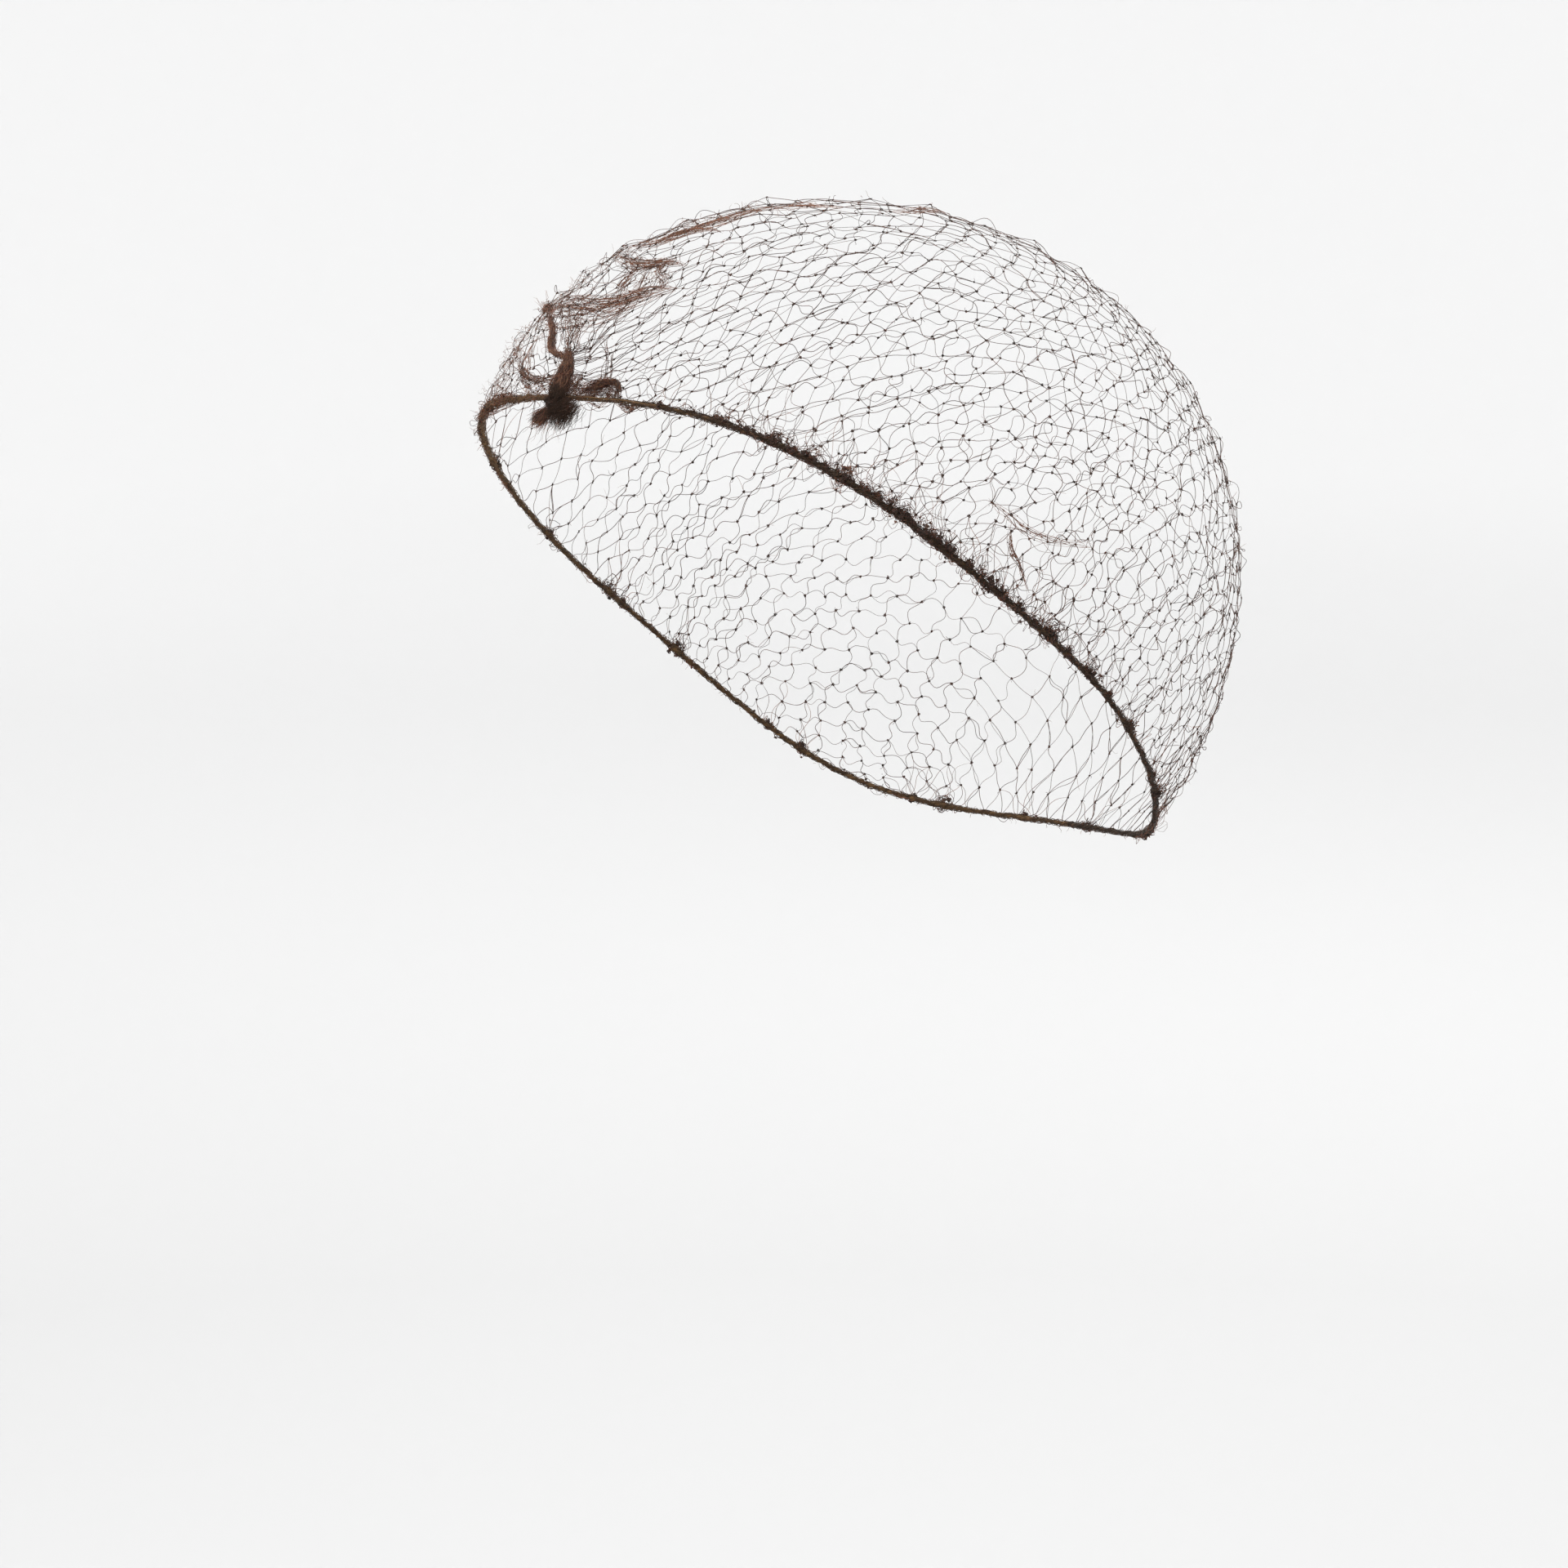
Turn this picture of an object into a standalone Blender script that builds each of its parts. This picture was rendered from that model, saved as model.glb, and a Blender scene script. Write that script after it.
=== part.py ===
"""A knotted hairnet with the form that it has when worn, for Blender 4.5, in metres with +Z up.

The forehead side faces -Y and the wearer's left is +X. The net is tipped back as it is worn by
someone who looks up a little. The origin is the highest point inside the crown, which the wearer
bears on.

Places on the net are given by two angles from the centre of the egg that it is stretched over:
round, in degrees from the forehead towards the wearer's left, and up, in degrees above the level
of that centre. Lift is how far a place stands off the egg.
"""

import math

import bmesh
import bpy
import numpy as np
from mathutils import Vector

MM = 0.001

# The egg that the net is stretched over, measured from its centre
HALF_WIDTH = 77.5 * MM
FRONT_LENGTH = 103.0 * MM
BACK_LENGTH = 97.6 * MM
CROWN_HEIGHT = 87.7 * MM
WIDENING = 0.02              # share by which the egg is wider at the nape than at its middle
FRONT_SQUARENESS = 2.6       # 2 is a round forehead in plan, and more is a boxier one
BACK_SQUARENESS = 2.0
SIDE_SQUARENESS = 2.1
TIPPED_BACK = math.radians(20.5)

# The line of the elastic: how far up it lies at each place round the net, in degrees
EDGE_MIDDLE = -10.8
EDGE_SKEW = 3.2              # the net is worn a little higher over the wearer's left ear
EDGE_WAVES = (               # waves round the net, degrees of up
    (1, 19.5),
    (2, 2.1),
    (3, -1.2),
    (4, 0.7),
    (5, -0.8),
)

# The elastic and the gap that pieces keep
ELASTIC_RADIUS = 1.1 * MM
ELASTIC_POINTS = 80
PIECE_GAP = 0.3 * MM
RIM_SLACK = 0.2 * MM         # for the straight pieces in the rim of the lattice

# The lattice that stands for the knotted net
CLOTH = 1.2 * MM
RIB = 3.0 * MM
COLUMNS = 12                 # diamonds from ear to ear
ROWS = 6                     # diamonds from the forehead to the nape
RIB_STEPS = 2                # straight pieces in one side of a diamond
CLOSED_ROWS = 1              # rows of diamonds at each end that are drawn up tight
END_WIDTH = 0.018            # share of the length that the drawn-up ends take
MIDDLE_REACHED = 0.25        # share of the length where the crown line reaches the middle

KNOT_ROUND = -5.0            # the net is drawn up a little to the wearer's right of the middle
KNOT_ASIDE = 1.6             # degrees from there to the middle of the knot
KNOT_BELOW = 1.5 * MM        # from the line of the elastic down to the middle of the knot
KNOT_OFF = 0.6 * MM          # between the knot and the egg
KNOT_WIDTH = 6.4 * MM
KNOT_TALL = 5.6 * MM
KNOT_DEEP = 4.4 * MM

# The ruffles that stand on the crown, a row for each fold
RUFFLE_WALL = 1.1 * MM
RUFFLE_POINTS = 16
RUFFLE_WAVE = 5.5 * MM       # length of one frill
RUFFLES = (                  # places from end to end (round, up), height, sideways frill
    (((-24.0, 22.6), (-15.0, 23.6), (-7.4, 24.7), (0.2, 27.3)), 2.6 * MM, 0.8 * MM),
    (((-18.5, 20.4), (-14.0, 21.6), (-9.0, 20.2)), 1.6 * MM, 0.4 * MM),
    (((-1.0, 28.0), (-2.2, 29.9), (-5.7, 31.6)), 1.4 * MM, 0.4 * MM),
    (((-12.5, 31.6), (-7.3, 32.7), (1.0, 33.6)), 2.2 * MM, 0.7 * MM),
    (((-15.0, 38.8), (-9.3, 42.4), (-2.5, 45.0)), 2.0 * MM, 0.5 * MM),
    (((63.0, 11.6), (70.2, 9.5), (77.5, 9.9), (85.0, 11.4)), 1.4 * MM, 0.4 * MM),
    (((65.7, 9.6), (67.3, 5.9), (69.7, 3.5), (73.0, -0.4)), 1.4 * MM, 0.4 * MM),
)

# The drawn-up bundle at the forehead, a row for each section from the knot upwards
PLEATS = 5
PLEAT_DEPTH = 0.16           # share of the radius
BUNDLE_SIDES = 20
BUNDLE = (                   # round, up, width, height off the net
    (-3.9, 10.3, 3.8 * MM, 3.2 * MM),
    (-4.2, 12.0, 4.2 * MM, 3.4 * MM),
    (-5.2, 13.8, 3.0 * MM, 2.8 * MM),
    (-7.0, 14.5, 2.4 * MM, 2.4 * MM),
    (-9.4, 15.0, 2.2 * MM, 2.2 * MM),
    (-11.8, 16.0, 2.0 * MM, 2.0 * MM),
    (-13.8, 17.6, 2.0 * MM, 2.0 * MM),
    (-16.6, 19.3, 2.0 * MM, 1.8 * MM),
)

# The small arch of bunched net beside the knot
ARCH_RADIUS = 0.9 * MM
ARCH = (                     # round, up
    (-0.2, 10.5),
    (0.8, 11.2),
    (2.2, 11.8),
    (3.8, 12.2),
    (5.2, 12.2),
    (6.0, 11.6),
    (6.3, 10.7),
)

# The cut ends under the knot, a row for each lock
TUFT_HEAD = 1.5 * MM
LOCK_ROOT = 0.8 * MM
LOCK_TIP = 0.35 * MM
LOCKS = (                    # turn from straight down towards the wearer's right, lean, length
    (52.0, 6.0, 4.4 * MM),
    (38.0, -4.0, 4.8 * MM),
    (44.0, 16.0, 4.6 * MM),
    (24.0, 8.0, 4.2 * MM),
    (6.0, -4.0, 3.4 * MM),
    (-14.0, 10.0, 3.6 * MM),
    (-34.0, 0.0, 3.8 * MM),
    (-54.0, 8.0, 4.0 * MM),
)

COLOURS = {                  # piece: linear red, green, blue, roughness
    "net_cap": (0.055, 0.026, 0.016, 0.75),
    "elastic_cord": (0.090, 0.045, 0.018, 0.55),
    "front_gather": (0.045, 0.018, 0.011, 0.75),
    "side_gather": (0.045, 0.020, 0.012, 0.75),
    "front_knot": (0.016, 0.008, 0.006, 0.80),
    "front_tuft": (0.060, 0.026, 0.014, 0.80),
}


def clear_scene():
    for item in list(bpy.data.objects):
        bpy.data.objects.remove(item, do_unlink=True)


def new_collection(name, shown=True):
    made = bpy.data.collections.new(name)
    bpy.context.scene.collection.children.link(made)
    made.hide_render = not shown
    return made


def yarn_material(name):
    red, green, blue, roughness = COLOURS[name]
    material = bpy.data.materials.new(name)
    material.use_nodes = True
    shader = material.node_tree.nodes["Principled BSDF"]
    shader.inputs["Base Color"].default_value = (red, green, blue, 1.0)
    shader.inputs["Roughness"].default_value = roughness
    shader.inputs["Metallic"].default_value = 0.0
    return material


def direction(round_deg, up_deg):
    """Unit vectors from the egg's centre, before it is tipped back."""
    turn, rise = np.radians(round_deg), np.radians(up_deg)
    return np.stack(
        [np.sin(turn) * np.cos(rise), -np.cos(turn) * np.cos(rise), np.sin(rise) + 0 * turn],
        axis=-1,
    )


def egg_radius(unit):
    """Distance from the centre to the egg along unit vectors."""
    x, y, z = unit[..., 0], unit[..., 1], unit[..., 2]
    length = np.where(y < 0, FRONT_LENGTH, BACK_LENGTH)
    squareness = np.where(y < 0, FRONT_SQUARENESS, BACK_SQUARENESS)
    width = HALF_WIDTH * (1 + WIDENING * y)
    plan = (np.abs(x / width) ** squareness + np.abs(y / length) ** squareness) ** (1 / squareness)
    side = plan**SIDE_SQUARENESS + np.abs(z / CROWN_HEIGHT) ** SIDE_SQUARENESS
    return side ** (-1 / SIDE_SQUARENESS)


def tipped(points):
    """Turned about X so that the forehead side rises."""
    cosine, sine = math.cos(TIPPED_BACK), math.sin(TIPPED_BACK)
    x, y, z = points[..., 0], points[..., 1], points[..., 2]
    return np.stack([x, y * cosine + z * sine, z * cosine - y * sine], axis=-1)


def untipped(points):
    cosine, sine = math.cos(TIPPED_BACK), math.sin(TIPPED_BACK)
    x, y, z = points[..., 0], points[..., 1], points[..., 2]
    return np.stack([x, y * cosine - z * sine, z * cosine + y * sine], axis=-1)


def highest_point():
    """The top of the tipped egg on its middle line, measured from the egg's centre."""
    up = np.linspace(0.0, 180.0, 1801)
    unit = direction(np.zeros_like(up), up)
    line = tipped(unit * egg_radius(unit)[:, None])
    return line[np.argmax(line[:, 2])]


SEAT = highest_point()


def on_egg(unit, lift=0.0):
    """World places along unit vectors, a lift off the egg."""
    return tipped(unit * (egg_radius(unit) + lift)[..., None]) - SEAT


def place(round_deg, up_deg, lift=0.0):
    return on_egg(direction(np.asarray(round_deg, float), np.asarray(up_deg, float)), lift)


def outward(points):
    """Unit vectors from the egg's centre through world places."""
    away = np.asarray(points) + SEAT
    return away / np.linalg.norm(away, axis=-1, keepdims=True)


def edge_up(round_deg):
    turn = np.radians(round_deg)
    waves = sum(height * np.cos(count * turn) for count, height in EDGE_WAVES)
    return EDGE_MIDDLE + EDGE_SKEW * np.sin(turn) + waves


def rim_direction(round_deg):
    """The rim of the lattice, which clears the elastic below it."""
    edge = egg_radius(direction(round_deg, edge_up(round_deg)))
    rise = np.degrees((ELASTIC_RADIUS + PIECE_GAP + RIM_SLACK) / edge)
    return direction(round_deg, edge_up(round_deg) + rise)


def net_direction(across, along):
    """Across runs from the right rim, -1, to the left rim, 1, and along from forehead to nape, 0 to 1.

    Each line across is the arc of a circle through the two rims and a point of the crown line,
    which leaves the knot and soon reaches the middle of the net.
    """
    along = END_WIDTH + along * (1 - 2 * END_WIDTH)
    left = rim_direction(KNOT_ROUND + along * (180.0 - KNOT_ROUND))
    right = rim_direction(KNOT_ROUND - along * (180.0 + KNOT_ROUND))
    first, last = edge_up(KNOT_ROUND), 180.0 - edge_up(180.0)
    aside = KNOT_ROUND * np.maximum(0.0, 1 - along / MIDDLE_REACHED) ** 2
    crown = direction(aside, first + along * (last - first))
    normal = np.cross(crown - right, left - crown)
    normal = normal / np.linalg.norm(normal, axis=-1, keepdims=True)
    centre = normal * np.sum(normal * crown, axis=-1, keepdims=True)
    spoke = right - centre
    turned = np.cross(normal, spoke)

    def turn_to(point):
        ahead = np.sum((point - centre) * turned, axis=-1)
        beside = np.sum((point - centre) * spoke, axis=-1)
        return np.arctan2(ahead, beside) % (2 * math.pi)

    half, whole = turn_to(crown), turn_to(left)
    angle = half + np.where(across < 0, half, whole - half) * across
    point = centre + spoke * np.cos(angle)[..., None] + turned * np.sin(angle)[..., None]
    return point / np.linalg.norm(point, axis=-1, keepdims=True)


def object_from(mesh, name, collection):
    made = bpy.data.objects.new(name, mesh)
    collection.objects.link(made)
    return made


def object_from_bmesh(shape, name, collection):
    mesh = bpy.data.meshes.new(name)
    shape.to_mesh(mesh)
    shape.free()
    return object_from(mesh, name, collection)


def settle_on_egg(vertices):
    """Moves vertices back to the egg after an inset."""
    points = np.array([vertex.co for vertex in vertices])
    for vertex, point in zip(vertices, on_egg(untipped(outward(points)))):
        vertex.co = Vector(point)


def rib_square_corners(face):
    """The two corners of a small square that a rib joins, or None where no rib crosses it."""
    corners = {
        (
            round((vertex.co.x + 0.5) * 2 * COLUMNS * RIB_STEPS),
            round((vertex.co.y + 0.5) * 2 * ROWS * RIB_STEPS),
        ): vertex
        for vertex in face.verts
    }
    column, row = min(corners)
    if (column - row) % (2 * RIB_STEPS) == RIB_STEPS:
        return corners[column, row], corners[column + 1, row + 1]
    if (column + row + 1) % (2 * RIB_STEPS) == RIB_STEPS:
        return corners[column + 1, row], corners[column, row + 1]
    return None


def diamond_sheet():
    """A flat sheet from 0 to 1 both ways, cut along slanting ribs.

    Small squares are merged into one face for each diamond that is pierced, and stay small where
    the net is drawn up tight, so that they can follow the egg. It gives the sheet and the pierced
    faces.
    """
    shape = bmesh.new()
    bmesh.ops.create_grid(
        shape,
        x_segments=2 * COLUMNS * RIB_STEPS,
        y_segments=2 * ROWS * RIB_STEPS,
        size=0.5,
    )
    for face in list(shape.faces):
        corners = rib_square_corners(face)
        if corners:
            bmesh.utils.face_split(face, *corners)
    diamonds = {}
    for face in shape.faces:
        middle = face.calc_center_median()
        across = (middle.x + 0.5) * COLUMNS
        along = (middle.y + 0.5) * ROWS
        first, second = round(across + along), round(across - along)
        if CLOSED_ROWS + 0.5 < first - second < 2 * ROWS - CLOSED_ROWS - 0.5:
            diamonds.setdefault((first, second), []).append(face)
    pierced = []
    for faces in diamonds.values():
        pierced += bmesh.ops.dissolve_faces(shape, faces=faces)["region"]
    rim = [edge for edge in shape.edges if edge.is_boundary]
    bmesh.ops.bisect_edges(shape, edges=rim, cuts=1)
    return shape, pierced


def lattice_surface(collection):
    """The diamonds laid on the egg, with a hole in each one that isn't drawn up tight."""
    shape, pierced = diamond_sheet()
    flat = np.array([vertex.co for vertex in shape.verts])
    for vertex, point in zip(shape.verts, on_egg(net_direction(2 * flat[:, 0], flat[:, 1] + 0.5))):
        vertex.co = Vector(point)
    shape.normal_update()
    bmesh.ops.inset_individual(shape, faces=pierced, thickness=RIB / 2, use_even_offset=True)
    bmesh.ops.delete(shape, geom=pierced, context="FACES")
    settle_on_egg(shape.verts)
    bmesh.ops.recalc_face_normals(shape, faces=shape.faces)
    shape.faces.ensure_lookup_table()
    first = shape.faces[0]
    if first.normal.dot(Vector(outward(first.calc_center_median()))) < 0:
        bmesh.ops.reverse_faces(shape, faces=shape.faces)
    return object_from_bmesh(shape, "net_cap", collection)


def smooth_route(places, count):
    """Round and up at evenly spaced steps along a curve through a few places."""
    places = np.array(places, float)
    spaced = np.linspace(0, len(places) - 1, count)
    start = np.minimum(spaced.astype(int), len(places) - 2)
    share = (spaced - start)[:, None]
    before = places[np.maximum(start - 1, 0)]
    here, there = places[start], places[start + 1]
    after = places[np.minimum(start + 2, len(places) - 1)]
    return 0.5 * (
        2 * here
        + (there - before) * share
        + (2 * before - 5 * here + 4 * there - after) * share**2
        + (3 * here - before - 3 * there + after) * share**3
    )


def sideways(points):
    """Unit vectors that lie on the egg, square to a route of world places."""
    ahead = np.gradient(points, axis=0)
    side = np.cross(ahead, outward(points))
    return side / np.linalg.norm(side, axis=1, keepdims=True)


def ruffle(index, collection):
    """A frilled wall that stands on the lattice and sinks to nothing at its ends."""
    places, height, frill = RUFFLES[index]
    route = smooth_route(places, RUFFLE_POINTS)
    foot = place(route[:, 0], route[:, 1], 0.4 * CLOTH)
    run = np.concatenate([[0.0], np.cumsum(np.linalg.norm(np.diff(foot, axis=0), axis=1))])
    swell = np.sqrt(np.sin(math.pi * run / run[-1]).clip(0.0, 1.0))
    lean = sideways(foot) * (frill * swell * np.sin(2 * math.pi * run / RUFFLE_WAVE))[:, None]
    crest = foot + outward(foot) * (CLOTH + height * swell)[:, None] + lean
    shape = bmesh.new()
    low = [shape.verts.new(point) for point in foot]
    high = [shape.verts.new(point) for point in crest]
    for step in range(RUFFLE_POINTS - 1):
        shape.faces.new((low[step], low[step + 1], high[step + 1], high[step]))
    wall = object_from_bmesh(shape, f"ruffle_{index + 1}", collection)
    wall.display_type = "WIRE"
    thickness = wall.modifiers.new("wall", "SOLIDIFY")
    thickness.thickness = RUFFLE_WALL
    thickness.offset = 0.0
    return wall


def net_cap(parts, cutters):
    cap = lattice_surface(parts)
    cloth = cap.modifiers.new("cloth", "SOLIDIFY")
    cloth.thickness = CLOTH
    cloth.offset = 1.0
    cloth.use_even_offset = True
    for index in range(len(RUFFLES)):
        join = cap.modifiers.new(f"ruffle_{index + 1}", "BOOLEAN")
        join.operation = "UNION"
        join.object = ruffle(index, cutters)
    return cap


def route_curve(name, points, radius, collection, closed=False, widths=None):
    """A round tube along world places."""
    data = bpy.data.curves.new(name, "CURVE")
    data.dimensions = "3D"
    data.bevel_depth = radius
    data.bevel_resolution = 2
    data.use_fill_caps = not closed
    spline = data.splines.new("POLY")
    spline.points.add(len(points) - 1)
    for index, point in enumerate(points):
        spline.points[index].co = (*point, 1.0)
        spline.points[index].radius = 1.0 if widths is None else widths[index]
    spline.use_cyclic_u = closed
    return object_from(data, name, collection)


def elastic_route():
    """The middle of the elastic, which lies on the egg along the edge of the net."""
    turn = np.linspace(-180.0, 180.0, ELASTIC_POINTS, endpoint=False)
    return place(turn, edge_up(turn), ELASTIC_RADIUS)


def elastic_cord(parts):
    return route_curve("elastic_cord", elastic_route(), ELASTIC_RADIUS, parts, closed=True)


def loft(rings, name, collection):
    """A closed skin over rings of points, with a flat cap at each end."""
    shape = bmesh.new()
    rows = [[shape.verts.new(point) for point in ring] for ring in rings]
    sides = len(rows[0])
    for low, high in zip(rows, rows[1:]):
        for side in range(sides):
            after = (side + 1) % sides
            shape.faces.new((low[side], low[after], high[after], high[side]))
    shape.faces.new(rows[0])
    shape.faces.new(rows[-1])
    bmesh.ops.recalc_face_normals(shape, faces=shape.faces)
    return object_from_bmesh(shape, name, collection)


def front_gather(parts):
    """The pleated bundle, a loft whose sections lie just off the lattice."""
    table = smooth_route(BUNDLE, 2 * len(BUNDLE) - 1)
    widths, heights = table[:, 2], table[:, 3]
    lift = CLOTH + PIECE_GAP + heights / 2 * (1 + PLEAT_DEPTH)
    middle = place(table[:, 0], table[:, 1], lift)
    side, off = sideways(middle), outward(middle)
    angle = np.linspace(0, 2 * math.pi, BUNDLE_SIDES, endpoint=False)
    pleat = 1 + PLEAT_DEPTH * np.cos(PLEATS * angle)
    across = np.cos(angle) * pleat
    above = np.sin(angle) * pleat
    rings = (
        middle[:, None]
        + side[:, None] * (widths[:, None] / 2 * across)[..., None]
        + off[:, None] * (heights[:, None] / 2 * above)[..., None]
    )
    return loft(rings, "front_gather", parts)


def side_gather(parts):
    route = smooth_route(ARCH, 12)
    points = place(route[:, 0], route[:, 1], CLOTH + PIECE_GAP + ARCH_RADIUS)
    swell = 0.7 + 0.3 * np.sin(np.linspace(0, math.pi, len(points)))
    return route_curve("side_gather", points, ARCH_RADIUS, parts, widths=swell)


def knot_frame():
    """The knot's middle, with its outward, upward and sideways unit vectors."""
    turn = KNOT_ROUND + KNOT_ASIDE
    drop = math.degrees(KNOT_BELOW / egg_radius(direction(turn, edge_up(turn))))
    middle = place(turn, edge_up(turn) - drop, KNOT_OFF + KNOT_DEEP / 2)
    off = outward(middle)
    side = np.cross((0.0, 0.0, 1.0), off)
    side = side / np.linalg.norm(side)
    return Vector(middle), Vector(off), Vector(np.cross(off, side)), Vector(side)


def front_knot(parts, cutters):
    """A lump with the ridges of two wraps, hollowed where it rides on the elastic."""
    middle, off, upward, side = knot_frame()
    shape = bmesh.new()
    bmesh.ops.create_uvsphere(shape, u_segments=18, v_segments=11, radius=1.0)
    for vertex in shape.verts:
        x, y, z = vertex.co
        wrap = 1 - 0.14 * abs(math.sin(2.0 * math.atan2(y, x) + 2.6 * z))
        vertex.co = (
            middle
            + side * (x * wrap * KNOT_WIDTH / 2)
            + off * (y * wrap * KNOT_DEEP / 2)
            + upward * (z * wrap * KNOT_TALL / 2)
        )
    bmesh.ops.recalc_face_normals(shape, faces=shape.faces)
    knot = object_from_bmesh(shape, "front_knot", parts)
    groove = route_curve(
        "knot_groove_route", elastic_route(), ELASTIC_RADIUS + PIECE_GAP, cutters, closed=True
    )
    bpy.context.view_layer.update()
    graph = bpy.context.evaluated_depsgraph_get()
    mesh = bpy.data.meshes.new_from_object(groove.evaluated_get(graph))
    bpy.data.objects.remove(groove, do_unlink=True)
    cutter = object_from(mesh, "knot_groove", cutters)
    cutter.display_type = "WIRE"
    hollow = knot.modifiers.new("groove", "BOOLEAN")
    hollow.operation = "DIFFERENCE"
    hollow.object = cutter
    return knot


def tuft_lock(index, root, off, upward, side, collection):
    """One tapered lock that starts inside the tuft's head."""
    turn, lean, length = LOCKS[index]
    turn, lean = math.radians(turn), math.radians(lean)
    away = -upward * math.cos(turn) - side * math.sin(turn)
    away = (away * math.cos(lean) + off * math.sin(lean)).normalized()
    shape = bmesh.new()
    bmesh.ops.create_cone(
        shape, cap_ends=True, segments=7, radius1=LOCK_ROOT, radius2=LOCK_TIP, depth=length
    )
    spin = Vector((0.0, 0.0, 1.0)).rotation_difference(away).to_matrix()
    for vertex in shape.verts:
        vertex.co = root + away * (length / 2) + spin @ vertex.co
    lock = object_from_bmesh(shape, f"tuft_lock_{index + 1}", collection)
    lock.display_type = "WIRE"
    return lock


def front_tuft(parts, cutters):
    """Cut ends, in locks fused to a head that hangs just under the knot."""
    middle, off, upward, side = knot_frame()
    root = middle - upward * (KNOT_TALL / 2 + PIECE_GAP + TUFT_HEAD)
    shape = bmesh.new()
    bmesh.ops.create_icosphere(shape, subdivisions=2, radius=TUFT_HEAD)
    bmesh.ops.translate(shape, verts=shape.verts, vec=root)
    tuft = object_from_bmesh(shape, "front_tuft", parts)
    for index in range(len(LOCKS)):
        join = tuft.modifiers.new(f"lock_{index + 1}", "BOOLEAN")
        join.operation = "UNION"
        join.object = tuft_lock(index, root, off, upward, side, cutters)
    return tuft


def main():
    clear_scene()
    parts = new_collection("hairnet")
    cutters = new_collection("hairnet_cutters", shown=False)
    made = [
        net_cap(parts, cutters),
        elastic_cord(parts),
        front_gather(parts),
        side_gather(parts),
        front_knot(parts, cutters),
        front_tuft(parts, cutters),
    ]
    for piece in made:
        piece.data.materials.append(yarn_material(piece.name))
    for helper in cutters.objects:
        helper.hide_render = True


main()
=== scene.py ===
# %% [markdown]
# # A knotted hairnet, as it is worn
#
# The real thing is a bag of very fine yarn, knotted by hand or machine into open diamonds, drawn up
# to a dark knot in front and threaded on a covered elastic all round its edge. The coarse solids of
# the model give its size and its place. This lesson covers them with the real yarn: about eighteen
# hundred small knots, the threads between them, ruffles where the net is bunched, the wound elastic
# with its loops, and the frayed ends under the knot.

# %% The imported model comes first
import math

import bpy
import numpy as np
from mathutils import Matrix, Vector


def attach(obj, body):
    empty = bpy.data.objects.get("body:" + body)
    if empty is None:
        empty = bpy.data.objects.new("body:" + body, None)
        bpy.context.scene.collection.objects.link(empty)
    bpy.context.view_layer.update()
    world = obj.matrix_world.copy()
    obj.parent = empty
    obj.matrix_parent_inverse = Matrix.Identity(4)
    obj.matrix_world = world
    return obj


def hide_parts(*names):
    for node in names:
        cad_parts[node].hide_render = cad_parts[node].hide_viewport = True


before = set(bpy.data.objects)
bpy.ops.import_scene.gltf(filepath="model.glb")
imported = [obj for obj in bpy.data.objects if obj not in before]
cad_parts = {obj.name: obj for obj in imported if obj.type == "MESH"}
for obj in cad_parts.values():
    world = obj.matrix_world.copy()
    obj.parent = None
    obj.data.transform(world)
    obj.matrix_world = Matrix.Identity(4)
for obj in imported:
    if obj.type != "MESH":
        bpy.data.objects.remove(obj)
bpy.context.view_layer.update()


def table(columns, rows):
    """A list with one dictionary for each row, whose keys are the names of the columns."""
    return [dict(zip(columns.split(), row)) for row in rows]


print("pieces in the model:", ", ".join(sorted(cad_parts)))

# %% [markdown]
# ## The camera
#
# The photograph looks at the wearer's left and front, from a little above. A long lens a good
# metre away keeps the dome from swelling towards the eye. The aim is a point inside the net, and
# the camera stands back from it along the line of sight.

# %% The camera
MM = 0.001
VIEW_ROUND = math.radians(48.3)
VIEW_UP = math.radians(11.7)
VIEW_DISTANCE = 1300 * MM
LENS = 124.3
FILM_WIDTH = 36.0
NEAREST, FARTHEST = 0.05, 50.0
AIM = Vector((-1.80 * MM, -13.15 * MM, -138.25 * MM))


def stand_camera():
    """The camera stands back from its aim, along a line turned by its two angles."""
    back = Vector((
        math.sin(VIEW_ROUND) * math.cos(VIEW_UP),
        -math.cos(VIEW_ROUND) * math.cos(VIEW_UP),
        math.sin(VIEW_UP),
    ))
    camera = bpy.data.objects.new("camera", bpy.data.cameras.new("camera"))
    camera.data.lens = LENS
    camera.data.sensor_width = FILM_WIDTH
    camera.data.clip_start, camera.data.clip_end = NEAREST, FARTHEST
    camera.location = AIM + back * VIEW_DISTANCE
    camera.rotation_mode = "QUATERNION"
    camera.rotation_quaternion = (-back).to_track_quat("-Z", "Y")
    bpy.context.scene.collection.objects.link(camera)
    bpy.context.scene.camera = camera
    return camera


print("camera at", [round(value, 3) for value in stand_camera().location])

# %% [markdown]
# ## The egg that the net is stretched over
#
# A worn net takes the shape of what fills it, which is close to an egg tipped back a little. The
# model was made on that egg, so the same few sizes are named here, and each place on the net is two
# angles: round, from the front towards the wearer's left, and up. A formula for the egg is better
# than measuring the solids, because threads can then be laid on it anywhere.

# %% The egg
HALF_WIDTH = 77.5 * MM
FRONT_LENGTH = 103.0 * MM
BACK_LENGTH = 97.6 * MM
CROWN_HEIGHT = 87.7 * MM
WIDENING = 0.02
FRONT_SQUARENESS = 2.6
BACK_SQUARENESS = 2.0
SIDE_SQUARENESS = 2.1
TIPPED_BACK = math.radians(20.5)


def direction(round_deg, up_deg):
    """Unit vectors: sine and cosine of round in plan, shortened by the cosine of up."""
    turn, rise = np.radians(round_deg), np.radians(up_deg)
    flat = np.cos(rise)
    return np.stack([np.sin(turn) * flat, -np.cos(turn) * flat, np.sin(rise) + 0 * turn], axis=-1)


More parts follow.
